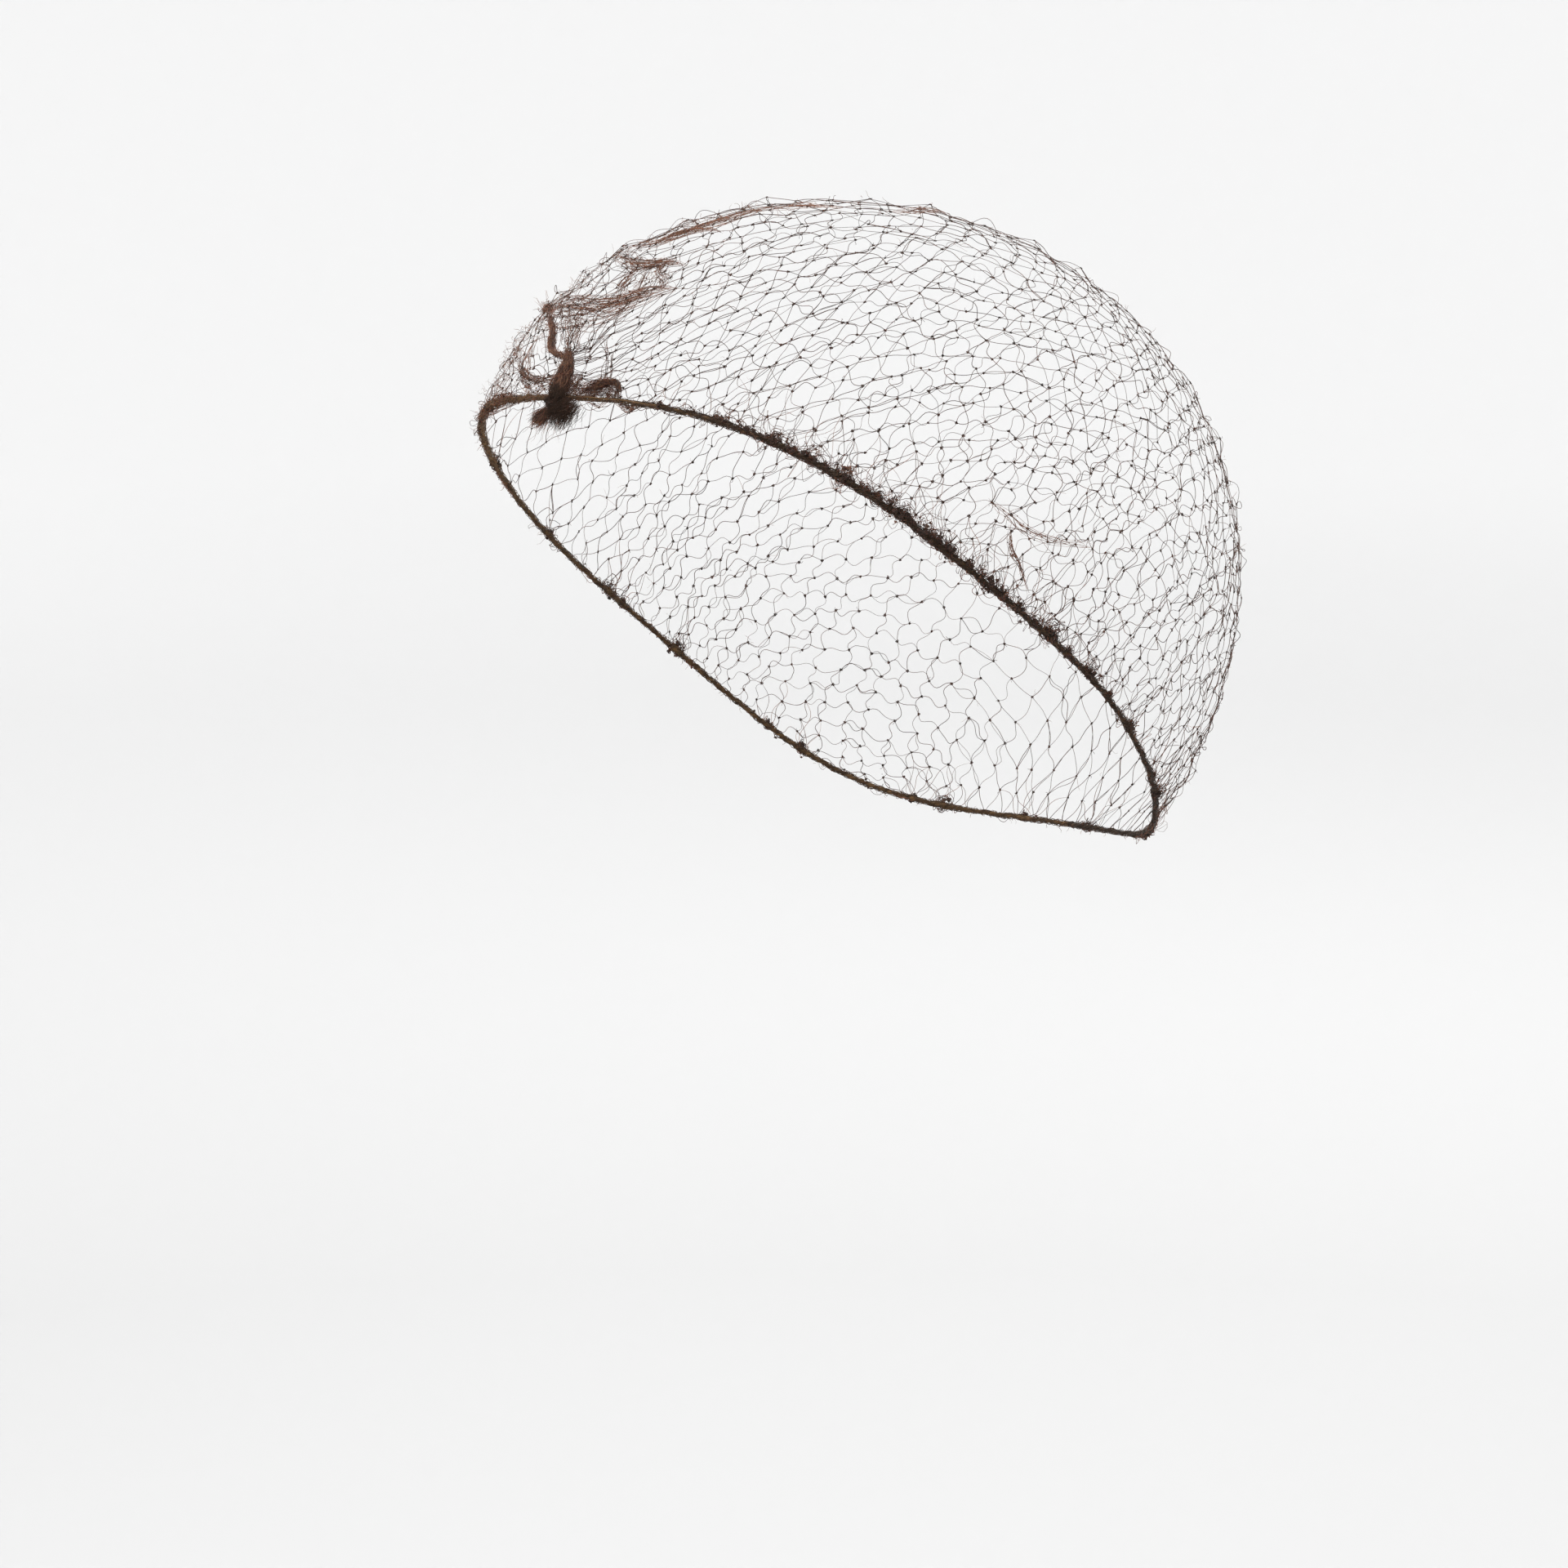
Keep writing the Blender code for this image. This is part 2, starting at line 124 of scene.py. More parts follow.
def egg_radius(unit):
    """Distance to a superellipsoid: powers of x, y and z over its half sizes add up to one."""
    x, y, z = unit[..., 0], unit[..., 1], unit[..., 2]
    length = np.where(y < 0, FRONT_LENGTH, BACK_LENGTH)
    squareness = np.where(y < 0, FRONT_SQUARENESS, BACK_SQUARENESS)
    width = HALF_WIDTH * (1 + WIDENING * y)
    plan = (np.abs(x / width) ** squareness + np.abs(y / length) ** squareness) ** (1 / squareness)
    side = plan**SIDE_SQUARENESS + np.abs(z / CROWN_HEIGHT) ** SIDE_SQUARENESS
    return side ** (-1 / SIDE_SQUARENESS)


def tipped(points, turn=TIPPED_BACK):
    """Turned about X: y and z mix by the sine and cosine of the angle."""
    x, y, z = points[..., 0], points[..., 1], points[..., 2]
    cosine, sine = math.cos(turn), math.sin(turn)
    return np.stack([x, y * cosine + z * sine, z * cosine - y * sine], axis=-1)


def seat_of_crown():
    """The highest point of the tipped egg's middle line, which is the origin of the model."""
    up = np.linspace(0.0, 180.0, 1801)
    unit_line = direction(0 * up, up)
    line = tipped(unit_line * egg_radius(unit_line)[:, None])
    return line[np.argmax(line[:, 2])]


SEAT = seat_of_crown()


def on_egg(unit_vectors, lift=0.0):
    """The egg's radius plus a lift, along unit vectors, tipped back and moved to the origin."""
    return tipped(unit_vectors * (egg_radius(unit_vectors) + lift)[..., None]) - SEAT


def place(round_deg, up_deg, lift=0.0):
    """The place at two angles, a lift off the egg."""
    return on_egg(direction(np.asarray(round_deg, float), np.asarray(up_deg, float)), lift)


def unit(vectors):
    """Each vector over its own length, with a tiny floor so that none divides by zero."""
    return vectors / np.maximum(np.linalg.norm(vectors, axis=-1, keepdims=True), 1e-12)


def whole_turn(steps):
    """Angles that go once round in even steps."""
    return np.linspace(0.0, 2 * math.pi, steps, endpoint=False)


def outward(points):
    """Unit vectors away from the egg's centre."""
    return unit(np.asarray(points) + SEAT)


def settle(points, lift):
    """Moves places straight in or out until they lie a lift off the egg."""
    return on_egg(tipped(outward(points), -TIPPED_BACK), lift)


print("the egg's centre lies", np.round(-SEAT / MM, 1), "mm from the seat")

# %% [markdown]
# ## The line of the elastic
#
# The elastic runs high in front, down the sides and low round the back. A few waves round the net
# describe that line, and the same waves made the solid loop. Looked at closely, the cord sags under
# it by about a millimetre at most, beside the knot and far round on the wearer's left.

# %% The edge
EDGE_MIDDLE = -10.8
EDGE_SKEW = 3.2
EDGE_WAVES = ((1, 19.5), (2, 2.1), (3, -1.2), (4, 0.7), (5, -0.8))
EDGE_SAG = 0.25
EDGE_SAGS = ((-12.0, 9.0, 0.35), (50.0, 25.0, 0.15), (108.0, 14.0, 0.65))
ELASTIC_RADIUS = 1.1 * MM
KNOT_ROUND = -5.0


def edge_up(round_deg):
    """A middle height, a skew by a sine and waves by cosines of round, less the sags."""
    turn = np.radians(round_deg)
    waves = sum(height * np.cos(count * turn) for count, height in EDGE_WAVES)
    sags = EDGE_SAG + sum(
        depth * np.exp(-(((round_deg - middle) / reach) ** 2)) for middle, reach, depth in EDGE_SAGS
    )
    return EDGE_MIDDLE + EDGE_SKEW * np.sin(turn) + waves - sags


def edge_place(round_deg, above=0.0, lift=ELASTIC_RADIUS):
    """Places along the elastic's middle, or some way above it over the net, in metres."""
    base = edge_up(round_deg)
    radius = egg_radius(direction(np.asarray(round_deg, float), base))
    return place(round_deg, base + np.degrees(above / radius), lift)


edge_line = edge_place(np.linspace(-180.0, 180.0, 1441))
EDGE_LENGTH = np.linalg.norm(np.diff(edge_line, axis=0), axis=1).sum()
print(f"the elastic is {EDGE_LENGTH / MM:.0f} mm round")

# %% [markdown]
# ## Skin for a thread
#
# Everything here is thread, so one helper does most of the work. It takes many routes at once as
# one array, puts a small ring of corners round each point, and joins the rings with faces. Working
# on whole arrays makes thousands of threads in well under a second. Each thread carries two things
# for its finish: a tone, which says how dark its brown is, from how its dye took and in places from
# painted shade or a painted highlight, and a UV map that runs along it.

# %% Threads into meshes


def skin(points, radius, sides=3, closed=False, tone=0.5):
    """Rings of corners, middle + radius * (side * cosine + off * sine), joined along each route.

    points holds one row of places for each thread. Off looks away from the egg.
    """
    points = np.asarray(points, float)
    threads, steps = points.shape[:2]
    if closed:
        ahead = np.roll(points, -1, axis=1) - np.roll(points, 1, axis=1)
    else:
        ahead = np.gradient(points, axis=1)
    side = unit(np.cross(ahead, outward(points)))
    off = unit(np.cross(side, ahead))
    turn = whole_turn(sides)[:, None]
    ring = side[:, :, None] * np.cos(turn) + off[:, :, None] * np.sin(turn)
    thick = np.broadcast_to(radius, (threads, steps))[..., None, None]
    corners = points[:, :, None] + thick * ring
    number = np.arange(corners[..., 0].size).reshape(threads, steps, sides)
    here = number if closed else number[:, :-1]
    there = np.roll(number, -1, axis=1) if closed else number[:, 1:]
    quads = np.stack([here, there, np.roll(there, -1, 2), np.roll(here, -1, 2)], axis=-1)
    first_step = np.broadcast_to(np.arange(here.shape[1])[:, None], here.shape)
    turned = np.broadcast_to(np.arange(sides), here.shape)
    along = first_step[..., None] + np.array([0, 1, 1, 0])
    around = turned[..., None] + np.array([0, 0, 1, 1])
    quad_uv = np.stack([along / steps, around / sides], axis=-1).reshape(-1, 2)
    caps = np.zeros((0, sides), int)
    if not closed:
        caps = np.concatenate([number[:, 0], number[:, -1, ::-1]])
    return {
        "corners": corners.reshape(-1, 3),
        "quads": quads.reshape(-1, 4),
        "caps": caps,
        "uv": np.concatenate([quad_uv, np.full((caps.size, 2), 0.5)]),
        "tone": np.repeat(np.broadcast_to(tone, (threads, steps)).reshape(-1), sides),
    }


def make_piece(name, skins, material, node):
    """Joins skins end to end in one mesh, attaches it to the root body and hides the solid it
    replaces.
    """
    starts = np.cumsum([0] + [len(part["corners"]) for part in skins])
    loops, sizes = [], []
    for part, start in zip(skins, starts):
        loops += [(part["quads"] + start).reshape(-1), (part["caps"] + start).reshape(-1)]
        sizes += [np.full(len(part["quads"]), 4), np.full(len(part["caps"]), part["caps"].shape[1])]
    loops, sizes = np.concatenate(loops), np.concatenate(sizes)
    mesh = bpy.data.meshes.new(name)
    mesh.vertices.add(starts[-1])
    mesh.vertices.foreach_set("co", np.concatenate([part["corners"] for part in skins]).reshape(-1))
    mesh.loops.add(len(loops))
    mesh.loops.foreach_set("vertex_index", loops)
    mesh.polygons.add(len(sizes))
    mesh.polygons.foreach_set("loop_start", np.cumsum(sizes) - sizes)
    mesh.update(calc_edges=True)
    mesh.uv_layers.new(name="thread").data.foreach_set(
        "uv", np.concatenate([part["uv"] for part in skins]).reshape(-1)
    )
    mesh.attributes.new("tone", "FLOAT", "POINT").data.foreach_set(
        "value", np.concatenate([part["tone"] for part in skins])
    )
    mesh.shade_smooth()
    mesh.materials.append(material)
    piece = bpy.data.objects.new(name, mesh)
    bpy.context.scene.collection.objects.link(piece)
    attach(piece, "root")
    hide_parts(node)
    print(f"{name}: {int((sizes - 2).sum())} triangles")
    return piece


def wander(threads, steps, waves, rng):
    """A smooth drift for each thread: a sum of sines, each less high the shorter it is."""
    share = np.linspace(0.0, 1.0, steps)
    count = np.arange(1, waves + 1)[None, :, None]
    phase = rng.uniform(0.0, 2 * math.pi, (threads, waves, 1))
    height = rng.normal(0.0, 1.0, (threads, waves, 1)) / count
    return np.sum(height * np.sin(math.pi * count * share + phase), axis=1)


def smooth_route(places, count):
    """A Catmull-Rom curve through the rows of a table, read at evenly spaced steps."""
    places = np.array(places, float)
    spaced = np.linspace(0, len(places) - 1, count)
    start = np.minimum(spaced.astype(int), len(places) - 2)
    share = (spaced - start)[:, None]
    before = places[np.maximum(start - 1, 0)]
    here, there = places[start], places[start + 1]
    after = places[np.minimum(start + 2, len(places) - 1)]
    return 0.5 * (
        2 * here
        + (there - before) * share
        + (2 * before - 5 * here + 4 * there - after) * share**2
        + (3 * here - before - 3 * there + after) * share**3
    )


# %% [markdown]
# ## Yarn
#
# The yarn is dyed a dark brown. Where light comes through a few hairs of it the brown turns red,
# and where many lie together it is nearly black. A material with two browns, mixed by the thread's
# own tone and by a fine cloudy pattern, gives that spread. A small bump twists round the yarns of
# the elastic. A little light passes under the surface, as it does in real fibre.

# %% Yarn materials
SHEEN_TINT = (0.85, 0.65, 0.55, 1.0)
GLOW_REACH = (1.0, 0.35, 0.2)
CLOUD_SCALE = 700.0
TWIST_SCALE = 1200.0
TWIST_DEPTH = 0.15 * MM


def set_inputs(node, values):
    for socket, value in values.items():
        node.inputs[socket].default_value = value


def add_node(material, kind, values=(), **settings):
    """A new shader node with its settings, and plain values in its sockets."""
    node = material.node_tree.nodes.new("ShaderNode" + kind)
    for name, value in settings.items():
        setattr(node, name, value)
    set_inputs(node, dict(values))
    return node


def connect(material, *wires):
    """Each wire runs from an output of one node to a socket of the next."""
    for first, output, second, socket in wires:
        material.node_tree.links.new(first.outputs[output], second.inputs[socket])


def yarn_material(name, dark, pale, roughness, glow, sheen=0.05, twisted=False):
    """Mixes two browns by the tone attribute and by noise, with a slanting wave as its twist."""
    material = bpy.data.materials.new(name)
    material.use_nodes = True
    shader = material.node_tree.nodes["Principled BSDF"]
    set_inputs(shader, {
        "Roughness": roughness, "Specular IOR Level": 0.2, "Sheen Weight": sheen,
        "Sheen Roughness": 0.5, "Sheen Tint": SHEEN_TINT, "Subsurface Weight": glow,
        "Subsurface Radius": GLOW_REACH, "Subsurface Scale": 0.3 * MM,
    })
    where = add_node(material, "TexCoord")
    noise = add_node(material, "TexNoise", {"Scale": CLOUD_SCALE, "Detail": 3.0})
    tone = add_node(material, "Attribute", attribute_name="tone")
    shift = add_node(material, "Math", {1: 0.35}, operation="SUBTRACT")
    blend = add_node(material, "Math", {1: 0.7}, operation="MULTIPLY_ADD")
    browns = add_node(material, "ValToRGB")
    for end, position, brown in zip(browns.color_ramp.elements, (0.1, 0.9), (dark, pale)):
        end.position = position
        end.color = (*brown, 1.0)
    connect(
        material,
        (where, "Object", noise, "Vector"), (noise, "Fac", blend, 0),
        (tone, "Fac", shift, 0), (shift, "Value", blend, 2),
        (blend, "Value", browns, "Fac"), (browns, "Color", shader, "Base Color"),
    )
    if twisted:
        slant = add_node(material, "Mapping", {"Scale": (TWIST_SCALE, 2.0, 1.0)})
        ply = add_node(material, "TexWave", {"Scale": 1.0, "Distortion": 1.5},
                       bands_direction="DIAGONAL")
        bump = add_node(material, "Bump", {"Strength": 0.6, "Distance": TWIST_DEPTH})
        connect(
            material,
            (where, "UV", slant, "Vector"), (slant, "Vector", ply, "Vector"),
            (ply, "Fac", bump, "Height"), (bump, "Normal", shader, "Normal"),
        )
    return material


NET_YARN = yarn_material("net_yarn", (0.018, 0.011, 0.008), (0.085, 0.048, 0.036), 0.65, 0.15)
RED_YARN = yarn_material("gathered_yarn", (0.026, 0.014, 0.010), (0.180, 0.088, 0.054), 0.6, 0.25)
DARK_YARN = yarn_material("knot_yarn", (0.007, 0.004, 0.0025), (0.036, 0.019, 0.011), 0.85, 0.0,
                          sheen=0.02)
GOLD_YARN = yarn_material("elastic_cover", (0.028, 0.015, 0.007), (0.150, 0.082, 0.032), 0.45, 0.1,
                          twisted=True)
print("yarns:", ", ".join(sorted(material.name for material in bpy.data.materials)))

# %% [markdown]
# ## Where the net is gathered
#
# A net is wider than what it is stretched over, and the slack has to go somewhere. In front it is
# drawn up in a bundle that stands over the knot. From the bundle a ridge climbs to the ruffles on
# the crown, and a small wrinkle lies low on the wearer's left. Each gather is a route over the egg.
# Knots near it are drawn in, and loose strands of bunched yarn are laid along it afterwards. The
# routes go on past the outline of the photographed side, so that no gather stops short there.

# %% The gathers
GATHERS = table("route reach pull strands spread_first spread_last height", (
    # the ruffle across the front of the crown, from the far side to the photographed one
    (((-44.0, 27.0), (-34.0, 24.4), (-26.5, 22.9), (-20.0, 22.1), (-14.0, 21.9), (-8.7, 22.2),
      (-4.9, 23.2), (-2.6, 24.6), (-0.5, 26.1), (1.9, 27.2), (4.0, 28.0)),
     7.0, 0.80, 44, 4.6, 2.2, 2.4),
    # the fan that joins the two ruffles, in three parts
    (((-10.5, 32.0), (-8.6, 29.0), (-7.3, 26.7), (-5.4, 24.2)), 4.0, 0.20, 9, 1.7, 2.2, 0.7),
    (((-7.9, 32.4), (-4.6, 29.2), (-3.1, 27.0), (-1.8, 24.6)), 4.0, 0.20, 9, 1.7, 2.2, 0.7),
    (((-4.2, 33.0), (-3.1, 30.7), (0.1, 29.0), (1.5, 26.4)), 4.0, 0.25, 11, 1.3, 1.3, 0.8),
    # the upper ruffle
    (((-34.0, 37.5), (-23.3, 33.9), (-15.1, 32.2), (-10.4, 31.2), (-6.4, 31.4), (-4.3, 32.3),
      (-1.9, 32.8), (1.4, 32.5)), 6.5, 0.75, 26, 2.2, 1.1, 1.6),
    # the crest behind it, which follows the outline
    (((-26.0, 37.0), (-18.0, 36.2), (-13.4, 36.6), (-11.9, 38.6), (-10.1, 40.8), (-6.0, 41.9),
      (-1.5, 41.5)), 6.5, 0.70, 19, 2.4, 1.2, 1.2),
    (((-15.0, 37.4), (-12.0, 40.0), (-10.0, 42.4), (-8.0, 45.2), (-7.4, 48.5), (-5.6, 51.9),
      (1.8, 54.6)), 5.0, 0.45, 13, 1.6, 2.6, 0.9),
    # two small tangles on the top of the crown
    (((-6.0, 52.6), (-1.3, 55.0), (4.2, 56.8), (11.0, 57.6)), 4.0, 0.40, 8, 1.4, 2.0, 1.2),
    (((22.0, 60.5), (25.7, 63.7), (26.6, 69.0), (28.6, 73.8), (36.0, 76.5)),
     4.0, 0.40, 7, 1.2, 2.2, 1.2),
    # the ridge from the bundle up to the ruffle
    (((-7.0, 14.7), (-9.1, 14.6), (-11.4, 15.2), (-13.0, 16.6), (-14.6, 18.0), (-17.2, 19.4),
      (-21.5, 21.0), (-26.5, 22.6)), 5.0, 0.75, 20, 0.6, 0.9, 1.2),
    # the loose fan to the left of the ridge
    (((-6.2, 14.6), (-8.0, 16.6), (-10.6, 18.6), (-13.8, 20.4), (-16.2, 21.8)),
     5.0, 0.35, 15, 1.5, 3.6, 0.9),
    # the swag that hangs between the bundle and the outline
    (((-5.3, 11.8), (-7.3, 11.4), (-9.8, 10.8), (-12.5, 10.8), (-15.7, 11.5), (-18.4, 12.6),
      (-22.8, 14.6), (-28.8, 17.0)), 4.0, 0.65, 15, 0.9, 0.7, 0.8),
    (((-5.3, 10.6), (-8.5, 10.0), (-11.5, 10.0), (-15.0, 10.8), (-18.2, 11.6)),
     3.5, 0.40, 14, 1.6, 2.2, 0.8),
    # threads drawn across that swag where the net turns over to the far side
    (((-12.0, 9.6), (-15.4, 11.4), (-17.8, 13.4), (-19.0, 15.6), (-19.2, 18.4)),
     4.0, 0.55, 8, 1.2, 0.9, 0.8),
    # the wrinkle low on the wearer's left, in two arms
    (((60.5, 11.8), (65.3, 10.9), (70.2, 9.5), (77.5, 9.9), (85.0, 11.4)),
     5.5, 0.80, 7, 0.8, 1.0, 0.8),
    (((65.5, 10.6), (66.2, 8.2), (67.3, 5.9), (69.7, 3.5), (73.0, -0.4)),
     5.0, 0.75, 6, 0.8, 1.0, 0.7),
))
for gather in GATHERS:
    for length in ("reach", "spread_first", "spread_last", "height"):
        gather[length] *= MM

# round and size of each place where the net is bunched on the elastic
BUNCHES = np.array([
    (-171.0, 0.5), (-156.5, 0.9), (-151.0, 0.4), (-129.0, 0.7), (-121.5, 0.5), (-99.0, 0.8),
    (-84.0, 0.5), (-80.5, 0.8), (-63.0, 0.6), (-44.5, 0.7), (-33.5, 0.5), (-24.0, 0.4),
    (13.5, 0.3), (22.5, 0.5), (26.4, 0.4), (29.8, 0.8), (32.2, 0.4), (34.7, 0.7), (37.0, 0.3),
    (39.4, 0.9), (42.4, 0.4), (44.6, 0.6), (47.9, 1.0), (49.8, 0.5), (52.4, 0.9), (54.3, 0.4),
    (56.3, 0.8), (60.2, 0.5), (64.5, 1.0), (67.4, 0.5), (71.0, 0.5), (75.2, 0.4), (78.8, 0.9),
    (84.5, 0.4), (90.3, 0.7), (97.0, 0.3), (105.4, 0.6), (121.0, 0.4), (127.0, 0.7),
    (149.0, 0.5), (154.5, 0.8), (176.0, 0.6),
])
BUNCH_WIDTH = 1.9


def bunching(round_deg):
    """A sum of bells round the net, one for each bunch, as high as its size."""
    off = (np.asarray(round_deg)[..., None] - BUNCHES[:, 0] + 180.0) % 360.0 - 180.0
    return np.sum(BUNCHES[:, 1] * np.exp(-((off / BUNCH_WIDTH) ** 2)), axis=-1)


print(len(GATHERS), "gathers and", len(BUNCHES), "bunches on the elastic")

# %% [markdown]
# ## Where the knots lie
#
# A netting needle makes rows of knots, each row half a diamond along from the last. So the knots
# are a chessboard of half columns and half rows. The board is laid over the egg in arcs from rim to
# rim, close together in front and at the back, where the net is drawn up.

# %% The board of knots
HALF_COLUMNS = 50
BAR = 7.6 * MM
TIGHTNESS = 0.9
END_WIDTH = 0.018
CROWN_SAMPLES = 801
WIDEST_OPENING = 0.8 * BAR
BACK_HALF_WIDTH = 34.0
MIDDLE_REACHED = 0.25


def net_direction(across, along):
    """Arcs of circles from rim to rim, through a crown line that runs from front to back."""
    along = END_WIDTH + along * (1 - 2 * END_WIDTH)
    left_round = KNOT_ROUND + along * (180.0 - BACK_HALF_WIDTH - KNOT_ROUND)
    right_round = KNOT_ROUND - along * (180.0 - BACK_HALF_WIDTH + KNOT_ROUND)
    left = direction(left_round, edge_up(left_round))
    right = direction(right_round, edge_up(right_round))
    first, last = edge_up(KNOT_ROUND), 180.0 - edge_up(180.0)
    aside = KNOT_ROUND * np.maximum(0.0, 1 - along / MIDDLE_REACHED) ** 2
    crown = direction(aside, first + along * (last - first))
    normal = unit(np.cross(crown - right, left - crown))
    centre = normal * np.sum(normal * crown, axis=-1, keepdims=True)
    spoke = right - centre
    turned = np.cross(normal, spoke)

    def turn_to(point):
        ahead = np.sum((point - centre) * turned, axis=-1)
        return np.arctan2(ahead, np.sum((point - centre) * spoke, axis=-1)) % (2 * math.pi)

    half, whole = turn_to(crown), turn_to(left)
    angle = half + np.where(across < 0, half, whole - half) * across
    return unit(centre + spoke * np.cos(angle)[..., None] + turned * np.sin(angle)[..., None])


def row_places():
    """Rows along the crown line: each step is the side of a triangle under a bar of one length."""
    along = np.linspace(0.0, 1.0, CROWN_SAMPLES)
    crown = on_egg(net_direction(0 * along, along))
    beside = on_egg(net_direction(0 * along + 2 / HALF_COLUMNS, along))
    width = np.linalg.norm(beside - crown, axis=1)
    tall = np.sqrt((TIGHTNESS * BAR) ** 2 - np.minimum(width, WIDEST_OPENING) ** 2)
    step = np.linalg.norm(np.diff(crown, axis=0), axis=1)
    passed = np.concatenate([[0.0], np.cumsum(step / (0.5 * (tall[1:] + tall[:-1])))])
    rows = 2 * round(passed[-1] / 2)
    return np.interp(np.linspace(0.0, passed[-1], rows + 1), passed, along)


ROW_PLACES = row_places()
HALF_ROWS = len(ROW_PLACES) - 1
column, row = np.meshgrid(np.arange(HALF_COLUMNS + 1), np.arange(HALF_ROWS + 1), indexing="ij")
is_knot = (column + row) % 2 == 0
knot_number = np.where(is_knot, np.cumsum(is_knot).reshape(is_knot.shape) - 1, -1)
knot_column, knot_row = column[is_knot], row[is_knot]
rising = np.stack([knot_number[:-1, :-1], knot_number[1:, 1:]], axis=-1).reshape(-1, 2)
falling = np.stack([knot_number[:-1, 1:], knot_number[1:, :-1]], axis=-1).reshape(-1, 2)
bars = np.concatenate([rising[rising[:, 0] >= 0], falling[falling[:, 0] >= 0]])
print(f"{HALF_ROWS} half rows, {len(knot_row)} knots and {len(bars)} bars between them")

# %% [markdown]
# ## How the net settles
#
# The knots stray a little, and the gathers and bunches draw them in. Then the net settles: yarn
# can't stretch, so each bar that has grown too long pulls its two knots together, a little at a
# time, until nearly none is too long.

# %% The settled net
ROUTE_STEPS = 60
STRAY = 2.3 * MM
STRAY_KEPT = 0.4
LEAST_LIFT = 0.2 * MM
STANDING_KNOTS = 0.12
LOOSE_MIDDLE = (-29.0, 16.0)
LOOSE_REACH = (14.0, 8.0)
LOOSE_LIFT_MM = 1.1
BUNCHED_UP_TO = 8.0 * MM
BUNDLE_TOP_UP = 14.2
SETTLING_STEPS = 160
EASED = 0.45


def drawn_in(points, gather):
    """Moves places to a route by a share that is a bell of their distance, less at its ends."""
    route = smooth_route(gather["route"], ROUTE_STEPS)
    gap = place(route[:, 0], route[:, 1])[None] - points[:, None]
    distance = np.linalg.norm(gap, axis=2)
    nearest = np.argmin(distance, axis=1)
    each = np.arange(len(points))
    from_end = np.minimum(nearest, ROUTE_STEPS - 1 - nearest) / (ROUTE_STEPS - 1)
    weight = gather["pull"] * np.minimum(1.0, 0.25 + 5.0 * from_end)
    weight = weight * np.exp(-((distance[each, nearest] / gather["reach"]) ** 2))
    return points + gap[each, nearest] * weight[:, None], weight


def angles_of(points):
    """Round and up of each place, from the way to it before the egg was tipped."""
    level = tipped(outward(points), -TIPPED_BACK)
    return np.degrees(np.arctan2(level[..., 0], -level[..., 1])), np.degrees(
        np.arcsin(np.clip(level[..., 2], -1.0, 1.0))
    )


def front_row(share):
    """The front end of the net goes up one side of the bundle and down the other."""
    climb = np.sin(math.pi * share)
    foot = edge_up(KNOT_ROUND)
    return place(
        KNOT_ROUND - 0.4 - 2.0 * climb**3 + 0.5 * np.cos(math.pi * share),
        foot + 0.4 + (BUNDLE_TOP_UP - foot) * climb,
        1.2 * MM,
    )


def strayed(points, inner, rng):
    """Chance steps aside, averaged twice with those of the neighbours, so that all drift."""
    stray = rng.normal(0.0, STRAY, points.shape)
    for _ in range(2):
        total, count = np.zeros_like(stray), np.zeros(len(stray))
        for here, there in (bars.T, bars[:, ::-1].T):
            np.add.at(total, here, stray[there])
            np.add.at(count, here, 1.0)
        stray = STRAY_KEPT * stray + (1 - STRAY_KEPT) * total / count[:, None]
    return points + stray * inner[:, None]


def drawn_up(points, inner, rng):
    """Gathers and bunches draw knots in. Each knot gets a lift, and a hold from 0 to 1."""
    count = len(points)
    held = np.zeros(count)
    lift = rng.gamma(1.3, 0.16 * MM, count) + LEAST_LIFT
    stands = rng.uniform(0.0, 1.0, count) < STANDING_KNOTS
    lift = lift + stands * rng.uniform(0.4 * MM, 1.8 * MM, count)
    for gather in GATHERS:
        points, weight = drawn_in(points, gather)
        held = np.maximum(held, weight)
        lift = lift + gather["height"] * weight * rng.uniform(0.2, 1.0, count)
    turn, rise = angles_of(points)
    from_loose = np.hypot((turn - LOOSE_MIDDLE[0]) / LOOSE_REACH[0],
                          (rise - LOOSE_MIDDLE[1]) / LOOSE_REACH[1])
    loose = np.exp(-(from_loose**2)) * rng.gamma(1.6, 1.0, count)
    lift = lift + np.minimum(loose, 2.0) * LOOSE_LIFT_MM * MM
    above = np.radians(rise - edge_up(turn)) * egg_radius(direction(turn, rise))
    bunched = np.minimum(bunching(turn), 1.0) * np.exp(-((above / BUNCHED_UP_TO) ** 2)) * inner
    drop = 1 - 0.8 * bunched * rng.uniform(0.5, 1.0, count)
    low = edge_place(turn, np.maximum(above, 0.6 * MM) * drop, 0.0)
    points = np.where(inner[:, None], low, points)
    points = np.where((knot_row == 0)[:, None], front_row(knot_column / HALF_COLUMNS), points)
    points = np.where((knot_row == HALF_ROWS)[:, None], edge_place(turn), points)
    return points, lift, np.maximum(held, 0.8 * bunched)


